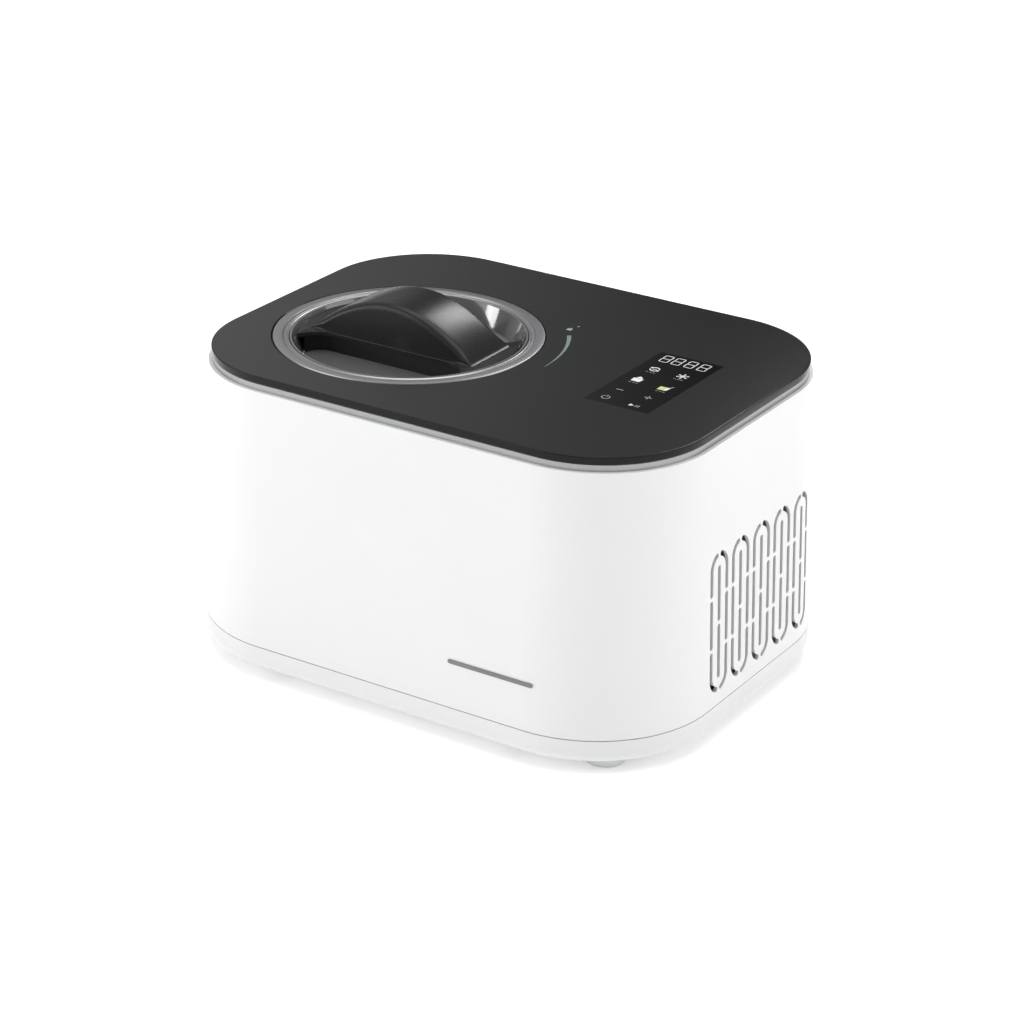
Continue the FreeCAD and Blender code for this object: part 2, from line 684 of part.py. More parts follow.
HEX_FLAT = 3.6
HUB_OUTER = 13.5
HUB_INNER = 10.6
PADDLE_BOTTOM = 87.0
PADDLE_TOP = 166.0
BLADE_REACH = 68.5
HUB_CAP = 4.0
ARM_HALF = 6.0
ARM_HEIGHT = 5.0
SCRAPER_START = 58.0
SCRAPER_PIVOT = 66.0
SCRAPER_HALF = 1.75
SCRAPER_DEG = 20.0
SCRAPER_TOP = 160.0
TOP_ARM_BOTTOM = 150.0
TOP_ARM_REACH = 60.0
TOP_ARM_FRONT = 4.5
TOP_ARM_BACK = 1.5
MIXER_START = 28.0
MIXER_END = 40.0
MIXER_HALF = 1.6
MIXER_DEG = -32.0
SOCKET_GAP = 0.35


def hexagon(flat, bottom, top):
    corner = flat / math.cos(math.radians(30.0))
    points = []
    for index in range(6):
        turn = math.radians(60.0 * index)
        points.append((LID_X + corner * math.cos(turn), LID_Y + corner * math.sin(turn)))
    return polygon_prism(points, bottom, top)


def paddle():
    """A hub with two wings, each with an outer scraper and an inner mixing blade."""
    hub_top = PADDLE_TOP + HUB_CAP
    hub = cylinder(HUB_OUTER, PADDLE_BOTTOM, hub_top, LID_X, LID_Y)
    hub_edges = [edge for edge in hub.Edges if edge.BoundBox.ZMin > hub_top - 0.1]
    hub = hub.makeFillet(HUB_CAP, hub_edges)
    arm = block(LID_X, LID_X + BLADE_REACH - 1.2, LID_Y - ARM_HALF, LID_Y + ARM_HALF,
                PADDLE_BOTTOM, PADDLE_BOTTOM + ARM_HEIGHT)
    scraper = block(LID_X + SCRAPER_START, LID_X + BLADE_REACH, LID_Y - SCRAPER_HALF, LID_Y + SCRAPER_HALF,
                    PADDLE_BOTTOM, SCRAPER_TOP)
    scraper.rotate(V(LID_X + SCRAPER_PIVOT, LID_Y, 0), UP, SCRAPER_DEG)
    top_arm = block(LID_X, LID_X + TOP_ARM_REACH, LID_Y - TOP_ARM_FRONT, LID_Y + TOP_ARM_BACK,
                    TOP_ARM_BOTTOM, TOP_ARM_BOTTOM + ARM_HEIGHT)
    mixer = block(LID_X + MIXER_START, LID_X + MIXER_END, LID_Y - MIXER_HALF, LID_Y + MIXER_HALF,
                  PADDLE_BOTTOM, TOP_ARM_BOTTOM + 2)
    mixer.rotate(V(LID_X + 0.5 * (MIXER_START + MIXER_END), LID_Y, 0), UP, MIXER_DEG)
    wings = []
    for spin in (0.0, 180.0):
        wings.extend(turned(piece, spin) for piece in (arm, scraper, top_arm, mixer))
    whole = join([hub] + wings)
    whole = whole.common(cylinder(BLADE_REACH, PADDLE_BOTTOM, hub_top, LID_X, LID_Y))
    socket = cylinder(HUB_INNER, PADDLE_BOTTOM - 1, BOWL_TUBE_TOP + 1.5, LID_X, LID_Y)
    return whole.cut(socket).cut(hexagon(HEX_FLAT + SOCKET_GAP, BOWL_TUBE_TOP, SHAFT_TOP + 0.6))


def drive_shaft():
    rod = cylinder(SHAFT_RADIUS, SHAFT_BOTTOM, BOWL_TUBE_TOP - 2, LID_X, LID_Y)
    return join([rod, hexagon(HEX_FLAT, BOWL_TUBE_TOP - 3, SHAFT_TOP)])


SEAL_BOTTOM = 185.05
SEAL_TOP = 188.0
SEAL_INNER = 72.6
SEAL_OUTER = 76.8
BEAD_INNER = 74.5
BEAD_OUTER = 75.5
BEAD_HEIGHT = 2.6


def lid_seal():
    band = ring(SEAL_INNER, SEAL_OUTER, SEAL_BOTTOM, SEAL_TOP)
    bead = ring(BEAD_INNER, BEAD_OUTER, SEAL_TOP - 0.5, SEAL_TOP + BEAD_HEIGHT)
    return join([band, bead])


HANDLE_SCREWS = [(-40.0, 0.0), (40.0, 0.0)]
LID_FLOOR_THICK = 2.0
LID_DISH_FOOT = 73.6
LID_FOOT_WALL = 2.8
LID_RIM_WALL = 1.3
LID_ROUND = 2.5
LID_SKIRT_INNER = 72.8
LID_SKIRT_OUTER = 77.0
BEAD_GAP = 0.3
SEAL_GAP = 0.05
LUG_INNER = 76.0
HANDLE_SCREW = (196.6, 2.2, 3.6, 219.0)


def lid_cover():
    rim_z = GLASS_TOP - CLEAR
    underside = RECESS_FLOOR - LID_FLOOR_THICK
    height = rim_z - underside
    outer = Part.makeCone(LID_DISH_FOOT + LID_FOOT_WALL, LID_OUTER, height, V(LID_X, LID_Y, underside), UP)
    inner = Part.makeCone(LID_DISH_FOOT, LID_OUTER - LID_RIM_WALL, rim_z - RECESS_FLOOR,
                          V(LID_X, LID_Y, RECESS_FLOOR), UP)
    floor_edges = [edge for edge in inner.Edges if edge.BoundBox.ZMax < RECESS_FLOOR + 0.01]
    inner = inner.makeFillet(LID_ROUND, floor_edges)
    skirt = ring(LID_SKIRT_INNER, LID_SKIRT_OUTER, SEAL_TOP + SEAL_GAP, underside + 1)
    groove_top = SEAL_TOP + BEAD_HEIGHT + CLEAR
    skirt = skirt.cut(ring(BEAD_INNER - BEAD_GAP, BEAD_OUTER + BEAD_GAP, SEAL_TOP - 1, groove_top))
    lugs = [sector(LUG_INNER, LUG_OUTER, LUG_BOTTOM, LUG_TOP, middle - LUG_HALF_DEG, middle + LUG_HALF_DEG)
            for middle in lug_middles()]
    cover = join([outer.cut(inner), skirt] + lugs)
    for x, y in HANDLE_SCREWS:
        cover = cover.cut(cylinder(SCREW_HOLE, underside - 1, RECESS_FLOOR + 1, LID_X + x, LID_Y + y))
    return cover


HANDLE_HALF = 23.0
HANDLE_STEP = 212.6
HANDLE_RISE = 27.0
HANDLE_SPAN = 65.0
HANDLE_REACH = 77.0
SHOULDER_Z = 216.0
SHOULDER_DEG = 30.0
BAND_INSET = 1.6
BAND_REACH = 71.8
FLARE_START = 46.0
FLARE_MIDDLE = 60.0
FLARE_BULGE = 4.6
HANDLE_DIP = 2.0
HANDLE_ROUND = 5.0
SHOULDER_CHAMFER = 0.8
HANDLE_HOLE_TOP = 221.0


def handle_plan(inset, bottom, top, bar_only):
    """Outline from above: a straight bar, with ends that flare out to the rim circle."""
    reach = BAND_REACH if inset else HANDLE_REACH
    half = HANDLE_HALF - inset
    if bar_only:
        end = block(LID_X - reach, LID_X + reach, LID_Y - half, LID_Y + half, bottom, top)
        return end.common(cylinder(reach, bottom, top, LID_X, LID_Y))
    turn = math.radians(SHOULDER_DEG) - inset / reach
    tip = V(reach * math.cos(turn), reach * math.sin(turn), 0)
    root = V(FLARE_START, half, 0)
    curve = V(FLARE_MIDDLE, half + FLARE_BULGE, 0)
    pieces = []
    for sx in (-1, 1):
        def place(point, sy):
            return V(LID_X + sx * point.x, LID_Y + sy * point.y, bottom)
        rim = V(reach, 0, 0)
        edges = [
            Part.Arc(place(root, 1), place(curve, 1), place(tip, 1)).toShape(),
            Part.Arc(place(tip, 1), place(rim, 1), place(tip, -1)).toShape(),
            Part.Arc(place(tip, -1), place(curve, -1), place(root, -1)).toShape(),
            Part.LineSegment(place(root, -1), place(root, 1)).toShape(),
        ]
        face = Part.Face(Part.Wire(edges))
        pieces.append(face.extrude(V(0, 0, top - bottom)))
    return join(pieces + [handle_plan(inset, bottom, top, True)])


def lid_handle():
    apex = GLASS_TOP + HANDLE_RISE
    foot_z = GLASS_TOP - HANDLE_DIP
    y = LID_Y - HANDLE_HALF
    left = V(LID_X - HANDLE_SPAN, y, foot_z)
    right = V(LID_X + HANDLE_SPAN, y, foot_z)
    low_left = V(LID_X - HANDLE_SPAN, y, HANDLE_STEP)
    low_right = V(LID_X + HANDLE_SPAN, y, HANDLE_STEP)
    arch = Part.Arc(left, V(LID_X, y, apex), right).toShape()
    sides = [Part.LineSegment(right, low_right).toShape(), Part.LineSegment(low_right, low_left).toShape(),
             Part.LineSegment(low_left, left).toShape()]
    bow = Part.Face(Part.Wire([arch] + sides)).extrude(V(0, 2 * HANDLE_HALF, 0))
    arcs = [edge for edge in bow.Edges if edge.BoundBox.ZMax > apex - 1 and edge.BoundBox.ZLength > 10]
    bow = bow.makeFillet(HANDLE_ROUND, arcs)
    shoulders = handle_plan(0.0, HANDLE_STEP, SHOULDER_Z, False)
    top_edges = [edge for edge in shoulders.Edges if edge.BoundBox.ZMin > SHOULDER_Z - 0.01]
    shoulders = shoulders.makeChamfer(SHOULDER_CHAMFER, top_edges)
    handle = join([bow, shoulders])
    for x, _ in HANDLE_SCREWS:
        handle = handle.cut(cylinder(SCREW_HOLE, HANDLE_STEP - 1, HANDLE_HOLE_TOP, LID_X + x, LID_Y))
    return handle


def lid_handle_base():
    base = handle_plan(BAND_INSET, RECESS_FLOOR, HANDLE_STEP, False)
    for x, _ in HANDLE_SCREWS:
        base = base.cut(cylinder(SCREW_HOLE, RECESS_FLOOR - 1, HANDLE_STEP + 1, LID_X + x, LID_Y))
    return base


def lid_handle_screws():
    return group([screw(LID_X + x, LID_Y + y, *HANDLE_SCREW) for x, y in HANDLE_SCREWS])


# ---------------------------------------------------------------- drive train
PRESSURE_DEG = 20.0
FLANK_STEPS = 4
BACKLASH = 0.12
ADDENDUM = 0.9
DEDENDUM = 1.25


def gear(teeth, bottom, top, bore, x, y, phase_deg):
    """Spur gear with involute flanks."""
    pitch_radius = 0.5 * GEAR_MODULE * teeth
    base_radius = pitch_radius * math.cos(math.radians(PRESSURE_DEG))
    tip_radius = pitch_radius + ADDENDUM * GEAR_MODULE
    root_radius = pitch_radius - DEDENDUM * GEAR_MODULE
    pressure = math.radians(PRESSURE_DEG)
    half_at_pitch = (0.5 * math.pi * GEAR_MODULE - BACKLASH) / (2 * pitch_radius)
    half_at_base = half_at_pitch + math.tan(pressure) - pressure
    flank = []
    start = max(base_radius, root_radius)
    for step in range(FLANK_STEPS + 1):
        radius = start + (tip_radius - start) * step / FLANK_STEPS
        lean = math.acos(min(1.0, base_radius / radius))
        flank.append((radius, half_at_base - (math.tan(lean) - lean)))
    outline = []
    for tooth in range(teeth):
        middle = math.radians(phase_deg) + 2 * math.pi * tooth / teeth
        side = [(root_radius, flank[0][1])] if root_radius < start else []
        rising = side + flank
        for radius, angle in rising:
            outline.append((radius, middle - angle))
        for radius, angle in reversed(rising):
            outline.append((radius, middle + angle))
    points = [(x + r * math.cos(a), y + r * math.sin(a)) for r, a in outline]
    return polygon_prism(points, bottom, top).cut(cylinder(bore, bottom - 1, top + 1, x, y))


MOTOR_X = LID_X + 0.5 * GEAR_MODULE * (OUTPUT_TEETH + PINION_TEETH)
MOTOR_SHAFT = 3.0
MOTOR_RADIUS = 28.0
MOTOR_BOTTOM = 15.0
MOTOR_SHAFT_BOTTOM = 35.5
BUSH_OUTER = 9.0
BUSH_LOWER = (38.0, 48.0)
BUSH_UPPER = (59.5, 66.5)
GEAR_RECESS_INNER = 12.0
GEAR_RECESS_OUTER = 26.0
GEAR_RECESS_FLOOR = 55.0


def output_gear():
    wheel = gear(OUTPUT_TEETH, GEAR_BOTTOM, GEAR_TOP, SHAFT_RADIUS, LID_X, LID_Y, 180.0 / OUTPUT_TEETH)
    recess = ring(GEAR_RECESS_INNER, GEAR_RECESS_OUTER, GEAR_RECESS_FLOOR, GEAR_TOP + 1)
    return wheel.cut(recess)


def pinion():
    return gear(PINION_TEETH, GEAR_BOTTOM - 1, GEAR_TOP + 1, MOTOR_SHAFT, MOTOR_X, LID_Y, 0.0)


def motor_shaft():
    return cylinder(MOTOR_SHAFT, MOTOR_SHAFT_BOTTOM, GEAR_TOP + 3, MOTOR_X, LID_Y)


BOX_GEAR_RADIUS = 36.0
BOX_PINION_RADIUS = 17.0
BOX_LID = 2.5
BOX_BOSS_WALL = 3.0
BOX_BOSS_BOTTOM = 36.0
BOX_SHAFT_GAP = 1.5


def box_outline(grow, bottom, top):
    half = BOX_PINION_RADIUS + grow
    big = cylinder(BOX_GEAR_RADIUS + grow, bottom, top, LID_X, LID_Y)
    small = cylinder(half, bottom, top, MOTOR_X, LID_Y)
    link = block(LID_X, MOTOR_X, LID_Y - half, LID_Y + half, bottom, top)
    return join([big, small, link])


def gear_housing():
    housing = box_outline(BOX_WALL, BOX_BOTTOM, BOX_TOP - BOX_LID)
    housing = housing.cut(box_outline(0, BOX_BOTTOM + BOX_WALL, BOX_TOP))
    boss = cylinder(BUSH_OUTER + BOX_BOSS_WALL, BOX_BOSS_BOTTOM, BOX_BOTTOM + 1, LID_X, LID_Y)
    housing = join([housing, boss])
    housing = housing.cut(cylinder(BUSH_OUTER, BOX_BOSS_BOTTOM - 1, BUSH_LOWER[1], LID_X, LID_Y))
    return housing.cut(cylinder(MOTOR_SHAFT + BOX_SHAFT_GAP, BOX_BOTTOM - 1, BOX_BOTTOM + BOX_WALL + 1,
                                MOTOR_X, LID_Y))


def gear_cover():
    lid = box_outline(BOX_WALL, BOX_TOP - BOX_LID, BOX_TOP)
    return lid.cut(cylinder(BUSH_OUTER, BOX_BOTTOM, BOX_TOP + 1, LID_X, LID_Y))


BEARING_GAP = 0.05
SHAFT_SEAL_WALL = 2.0
SHAFT_SEAL_BOTTOM = 72.0
SHAFT_SEAL_TOP = 77.8


def shaft_bush(bottom, top):
    return ring(SHAFT_RADIUS + BEARING_GAP, BUSH_OUTER, bottom, top)


def shaft_seal():
    return ring(SHAFT_RADIUS + CLEAR, BUSH_OUTER + SHAFT_SEAL_WALL, SHAFT_SEAL_BOTTOM, SHAFT_SEAL_TOP)


MOTOR_SHOULDER = 41.5
MOTOR_ROUND = 2.0
MOTOR_NOSE = 8.0


def drive_motor():
    can = cylinder(MOTOR_RADIUS, MOTOR_BOTTOM, MOTOR_SHOULDER, MOTOR_X, LID_Y)
    edges = [edge for edge in can.Edges if edge.Length > 2 * math.pi * MOTOR_RADIUS - 1]
    can = can.makeFillet(MOTOR_ROUND, edges)
    nose = cylinder(MOTOR_NOSE, MOTOR_SHOULDER - 1, BOX_BOTTOM, MOTOR_X, LID_Y)
    bore = cylinder(MOTOR_SHAFT + BEARING_GAP, MOTOR_SHAFT_BOTTOM - 1, BOX_BOTTOM + 1, MOTOR_X, LID_Y)
    return join([can, nose]).cut(bore)


BRACKET_REACH = 48.0
BRACKET_BOSS_TOP = 14.0
BRACKET_SHEET = 2.0
BRACKET_BOSS_RADIUS = 5.0
BRACKET_DEGREES = (120.0, 180.0, 240.0)
BRACKET_HALF = 7.0
BRACKET_ARM = (20.0, 40.0)
BRACKET_TOE_END = 55.0
BRACKET_HOLE = 13.0
BRACKET_MOTOR_GAP = 1.5


def bracket_feet():
    feet = []
    for degrees in BRACKET_DEGREES:
        turn = math.radians(degrees)
        feet.append((LID_X + BRACKET_REACH * math.cos(turn), LID_Y + BRACKET_REACH * math.sin(turn)))
    return feet


def drive_bracket():
    """Three folded legs that hold the gear housing above the floor."""
    sheet_bottom = BOX_BOTTOM - BRACKET_SHEET
    plate = cylinder(BOX_GEAR_RADIUS, sheet_bottom, BOX_BOTTOM, LID_X, LID_Y)
    plate = plate.cut(cylinder(BRACKET_HOLE, sheet_bottom - 1, BOX_BOTTOM + 1, LID_X, LID_Y))
    motor_hole = MOTOR_RADIUS + BRACKET_MOTOR_GAP
    plate = plate.cut(cylinder(motor_hole, sheet_bottom - 1, BOX_BOTTOM + 1, MOTOR_X, LID_Y))
    near, far = LID_Y - BRACKET_HALF, LID_Y + BRACKET_HALF
    start, end = LID_X + BRACKET_ARM[0], LID_X + BRACKET_ARM[1]
    arm = block(start, end, near, far, sheet_bottom, BOX_BOTTOM)
    leg = block(end - BRACKET_SHEET, end, near, far, BRACKET_BOSS_TOP, BOX_BOTTOM)
    toe = block(end - BRACKET_SHEET, LID_X + BRACKET_TOE_END, near, far,
                BRACKET_BOSS_TOP, BRACKET_BOSS_TOP + BRACKET_SHEET)
    parts = [plate]
    for degrees in BRACKET_DEGREES:
        parts.extend(turned(piece, degrees) for piece in (arm, leg, toe))
    holes = [cylinder(SCREW_HOLE, BRACKET_BOSS_TOP - 1, BRACKET_BOSS_TOP + BRACKET_SHEET + 1, x, y)
             for x, y in bracket_feet()]
    return join(parts).cut(group(holes))


# ---------------------------------------------------------------- cooling system
COMPRESSOR_BOTTOM = 30.0
COMPRESSOR_TOP = 128.0
COMPRESSOR_ROUND = 18.0
SEAM_BAND = (38.0, 41.5, 76.0, 82.0)
COMPRESSOR_SKIRT = (26.0, 22.0, 34.0)
BASE_PLATE = (34.0, 110.0, -8.0, 68.0, 20.0, 22.0)
BASE_HOLE = 5.2
GROMMET_PAD = (7.5, 14.0, 20.0)
GROMMET_NECK = (5.0, 19.0, 23.0)
GROMMET_CAP = (6.5, 22.0, 25.0)
TERMINAL_HALF_X = 20.0
TERMINAL_REACH = 14.0
TERMINAL_GAP = 2.0
TERMINAL_LOW = 50.0
TERMINAL_HIGH = 84.0


def compressor():
    can = cylinder(COMPRESSOR_RADIUS, COMPRESSOR_BOTTOM, COMPRESSOR_TOP, COMPRESSOR_X, COMPRESSOR_Y)
    rims = [edge for edge in can.Edges if edge.Length > 2 * math.pi * COMPRESSOR_RADIUS - 1]
    can = can.makeFillet(COMPRESSOR_ROUND, rims)
    band = ring(*SEAM_BAND, COMPRESSOR_X, COMPRESSOR_Y)
    skirt = cylinder(*COMPRESSOR_SKIRT, COMPRESSOR_X, COMPRESSOR_Y)
    return join([can, band, skirt])


def compressor_base():
    plate = block(*BASE_PLATE)
    for x, y in GROMMET_SPOTS:
        plate = plate.cut(cylinder(BASE_HOLE, BASE_PLATE[4] - 1, BASE_PLATE[5] + 1, x, y))
    return plate


def compressor_grommets():
    pads = []
    for x, y in GROMMET_SPOTS:
        pads.append(join([cylinder(*size, x, y) for size in (GROMMET_PAD, GROMMET_NECK, GROMMET_CAP)]))
    return group(pads)


def terminal_cover():
    wall_y = COMPRESSOR_Y - COMPRESSOR_RADIUS
    return block(COMPRESSOR_X - TERMINAL_HALF_X, COMPRESSOR_X + TERMINAL_HALF_X,
                 wall_y - TERMINAL_REACH, wall_y - TERMINAL_GAP, TERMINAL_LOW, TERMINAL_HIGH)


FIN_COUNT = 24
FIN_PITCH = 3.9
FIN_THICK = 0.5
FIN_LOW = 34.0
FIN_HIGH = 132.0
FIN_HALF_X = 10.5
TUBE_ROWS = (-5.0, 5.0)
TUBE_LEVELS = 4
TUBE_RISE = 24.0
TUBE_FIRST = 46.0
TUBE_END = 6.0
CONDENSER_HALF_Y = 0.5 * (FIN_COUNT - 1) * FIN_PITCH


def condenser_tube_lines():
    lines = []
    for row in TUBE_ROWS:
        for level in range(TUBE_LEVELS):
            lines.append((CONDENSER_X + row, TUBE_FIRST + level * TUBE_RISE))
    return lines


def condenser_fins():
    y0 = FAN_Y - CONDENSER_HALF_Y
    holes = []
    for x, z in condenser_tube_lines():
        holes.append(cylinder_along(BACK, COIL_TUBE + COIL_GAP, 2 * FIN_THICK, V(x, -0.5 * FIN_THICK, z)))
    fin = block(CONDENSER_X - FIN_HALF_X, CONDENSER_X + FIN_HALF_X, 0, FIN_THICK, FIN_LOW, FIN_HIGH)
    fin = fin.cut(group(holes))
    fins = []
    for index in range(FIN_COUNT):
        copy = fin.copy()
        copy.translate(V(0, y0 + index * FIN_PITCH, 0))
        fins.append(copy)
    return group(fins)


def condenser_tube():
    y0 = FAN_Y - CONDENSER_HALF_Y - TUBE_END
    y1 = FAN_Y + CONDENSER_HALF_Y + TUBE_END
    pieces = []
    for x, z in condenser_tube_lines():
        pieces.append(cylinder_along(BACK, COIL_TUBE, y1 - y0, V(x, y0, z)))
    for row in TUBE_ROWS:
        for level in range(TUBE_LEVELS - 1):
            z = TUBE_FIRST + (level + 0.5) * TUBE_RISE
            outward = -1 if level % 2 == 0 else 1
            y = y1 if outward > 0 else y0
            bend = Part.makeTorus(0.5 * TUBE_RISE, COIL_TUBE, V(CONDENSER_X + row, y, z), RIGHT)
            near, far = sorted((y, y + outward * TUBE_RISE))
            side = block(CONDENSER_X - TUBE_RISE, CONDENSER_X + TUBE_RISE, near, far,
                         z - TUBE_RISE, z + TUBE_RISE)
            pieces.append(bend.common(side))
    return join(pieces)


FAN_RIM = 2.5
FAN_HUB = 17.0
FAN_HUB_PLATE = 5.0
STRUT_DEPTH = 4.0
STRUT_HALF = 2.0
FAN_LEG_HALF = 30.0
FAN_PIN = 2.0
FAN_PIN_GAP = 0.1


def fan_frame():
    half = 0.5 * FAN_SIDE
    x0 = FAN_X - 0.5 * FAN_DEPTH
    x1 = FAN_X + 0.5 * FAN_DEPTH
    behind = V(x0 - 1, FAN_Y, FAN_Z)
    frame = block(x0, x1, FAN_Y - half, FAN_Y + half, FAN_Z - half, FAN_Z + half)
    frame = frame.cut(cylinder_along(RIGHT, half - FAN_RIM, FAN_DEPTH + 2, behind))
    hub = cylinder_along(RIGHT, FAN_HUB, FAN_HUB_PLATE, V(x0, FAN_Y, FAN_Z))
    reach = half - 1
    level = block(x0, x0 + STRUT_DEPTH, FAN_Y - reach, FAN_Y + reach, FAN_Z - STRUT_HALF, FAN_Z + STRUT_HALF)
    upright = block(x0, x0 + STRUT_DEPTH, FAN_Y - STRUT_HALF, FAN_Y + STRUT_HALF, FAN_Z - reach, FAN_Z + reach)
    leg = block(x0 + STRUT_DEPTH, x1 - STRUT_DEPTH, FAN_Y - FAN_LEG_HALF, FAN_Y + FAN_LEG_HALF,
                PAN_FLOOR, FAN_Z - reach)
    frame = join([frame, hub, leg, level, upright])
    return frame.cut(cylinder_along(RIGHT, FAN_PIN + FAN_PIN_GAP, FAN_DEPTH + 2, behind))


FAN_BLADES = 7
BLADE_HALF_LENGTH = 9.0
BLADE_HALF_THICK = 0.9
BLADE_ROOT = 14.0
BLADE_TIP = 42.0
BLADE_PITCH_DEG = 48.0
ROTOR_START = 6.0
ROTOR_DEPTH = 15.0
PIN_START = 0.5
PIN_LENGTH = 8.0


def fan_rotor():
    x0 = FAN_X - 0.5 * FAN_DEPTH
    hub = cylinder_along(RIGHT, FAN_HUB, ROTOR_DEPTH, V(x0 + ROTOR_START, FAN_Y, FAN_Z))
    pin = cylinder_along(RIGHT, FAN_PIN, PIN_LENGTH, V(x0 + PIN_START, FAN_Y, FAN_Z))
    middle = V(x0 + ROTOR_START + 0.5 * ROTOR_DEPTH, FAN_Y, FAN_Z)
    blade = block(middle.x - BLADE_HALF_LENGTH, middle.x + BLADE_HALF_LENGTH, FAN_Y - BLADE_HALF_THICK,
                  FAN_Y + BLADE_HALF_THICK, FAN_Z + BLADE_ROOT, FAN_Z + BLADE_TIP + 2)
    blade.rotate(middle, UP, BLADE_PITCH_DEG)
    blade = blade.common(cylinder_along(RIGHT, BLADE_TIP, 2 * FAN_DEPTH, V(x0 - 0.5 * FAN_DEPTH, FAN_Y, FAN_Z)))
    blades = []
    for index in range(FAN_BLADES):
        copy = blade.copy()
        copy.rotate(middle, RIGHT, index * 360.0 / FAN_BLADES)
        blades.append(copy)
    return join([hub, pin] + blades)


PIPE_STUB = 24.0
SUCTION_Y = 92.0
SUCTION_HIGH = 150.0
SUCTION_LOW = 100.0
SUCTION_STEP = 20.0
SUCTION_DROP = 6.0
PIPE_BEND = 9.0
PORT_GAP = 2.0


def suction_pipe():
    """From the top turn of the evaporator to the compressor."""
    start = pipe_start(COIL_FIRST + (COIL_TURNS - 1) * COIL_PITCH)
    out = start + pipe_direction() * PIPE_STUB
    port_y = COMPRESSOR_Y + COMPRESSOR_RADIUS + PORT_GAP
    points = [start, out, V(out.x + SUCTION_STEP, SUCTION_Y, out.z - SUCTION_DROP),
              V(COMPRESSOR_X, SUCTION_Y, SUCTION_HIGH), V(COMPRESSOR_X, SUCTION_Y, SUCTION_LOW),
              V(COMPRESSOR_X, port_y, SUCTION_LOW)]
    return tube(points, COIL_TUBE, PIPE_BEND)


CAPILLARY_RADIUS = 1.6
CAPILLARY_BEND = 5.0
CAPILLARY_Y = 98.0
CAPILLARY_RISE = 18.0
CAPILLARY_STEP = 14.0
CAPILLARY_LIFT = 6.0
CAPILLARY_PAST = 10.0
CAPILLARY_LOOP = 12.0


def capillary_pipe():
    """From the drier back to the bottom turn of the evaporator."""
    start = pipe_start(COIL_FIRST)
    out = start + pipe_direction() * PIPE_STUB
    end = V(DRIER_X + 0.5 * DRIER_LENGTH + CAPILLARY_PAST, DRIER_Y, DRIER_Z)
    left_x = out.x - CAPILLARY_STEP
    loop_x = end.x + CAPILLARY_LOOP
    high = DRIER_Z + CAPILLARY_RISE
    points = [start, out, V(left_x, CAPILLARY_Y, out.z + CAPILLARY_LIFT), V(left_x, DRIER_Y, high),
              V(loop_x, DRIER_Y, high), V(loop_x, DRIER_Y, DRIER_Z), end]
    return tube(points, CAPILLARY_RADIUS, CAPILLARY_BEND)


DRIER_X = -20.0
DRIER_Y = 118.0
DRIER_Z = 60.0
DRIER_LENGTH = 60.0
DRIER_RADIUS = 9.0
DRIER_ROUND = 4.0
DRIER_OUTLET = (2.6, 18.0, 21.5)
DRIER_INLET = (4.0, 18.0, -39.5)


def filter_drier():
    can = cylinder_along(RIGHT, DRIER_RADIUS, DRIER_LENGTH, V(DRIER_X - 0.5 * DRIER_LENGTH, DRIER_Y, DRIER_Z))
    rims = [edge for edge in can.Edges if edge.Length > 2 * math.pi * DRIER_RADIUS - 1 and edge.Closed]
    can = can.makeFillet(DRIER_ROUND, rims)
    stubs = [cylinder_along(RIGHT, radius, length, V(DRIER_X + start, DRIER_Y, DRIER_Z))
             for radius, length, start in (DRIER_OUTLET, DRIER_INLET)]
    return join([can] + stubs)


DISCHARGE_X = 96.0
DISCHARGE_PORT_Y = 66.0
DISCHARGE_Y = 84.0
DISCHARGE_Z = 110.0
DISCHARGE_BEND = 8.0
JOINT_GAP = 0.2


def discharge_pipe():
    """From the compressor to the condenser's top row."""
    x, z = condenser_tube_lines()[TUBE_LEVELS - 1]
    end_y = FAN_Y + CONDENSER_HALF_Y + TUBE_END + JOINT_GAP
    points = [V(DISCHARGE_X, DISCHARGE_PORT_Y, DISCHARGE_Z), V(DISCHARGE_X, DISCHARGE_Y, DISCHARGE_Z),
              V(x, DISCHARGE_Y, z), V(x, end_y, z)]
    return tube(points, COIL_TUBE, DISCHARGE_BEND)


# ---------------------------------------------------------------- electronics
# Boxes are given as x0, x1, y0, y1, and the display's are relative to its centre.
BOARD_THICK = 1.6
DISPLAY_BOARD = (-22.0, 22.0, -48.0, 48.0)
DISPLAY_BOARD_BOTTOM = 203.0
DIGIT_BLOCK = (-18.0, 19.0, 31.0, 47.5)
DIGIT_HEIGHT = 8.0
SPRING_INNER = 3.0
SPRING_OUTER = 3.8
SPRING_HEIGHT = 8.2
KEY_ROWS = 4
KEY_HALF_X = 11.0
KEY_FIRST_Y = 19.0
KEY_PITCH = 20.5
POWER_BOARD = (42.0, 118.0, -118.0, -66.0)
POWER_BOARD_HOLE = 1.5
TRANSFORMER = (54.0, 76.0, -106.0, -84.0)
TRANSFORMER_HEIGHT = 20.0
RELAY = (82.0, 98.0, -106.0, -94.0)
RELAY_PITCH = 16.0
RELAY_HEIGHT = 15.0
CAPACITOR_SPOT = (106.0, -102.0)
CAPACITOR_PITCH = 14.0
CAPACITOR_RADIUS = 5.0
CAPACITOR_HEIGHT = 18.0
SMALL_HEAD = 2.6
SMALL_HEAD_HEIGHT = 1.8
SMALL_SHANK = 1.2


def display_board():
    x0, x1, y0, y1 = DISPLAY_BOARD
    top = DISPLAY_BOARD_BOTTOM + BOARD_THICK
    return block(DISPLAY_X + x0, DISPLAY_X + x1, y0, y1, DISPLAY_BOARD_BOTTOM, top)


def digit_module():
    x0, x1, y0, y1 = DIGIT_BLOCK
    bottom = DISPLAY_BOARD_BOTTOM + BOARD_THICK
    return block(DISPLAY_X + x0, DISPLAY_X + x1, y0, y1, bottom, bottom + DIGIT_HEIGHT)


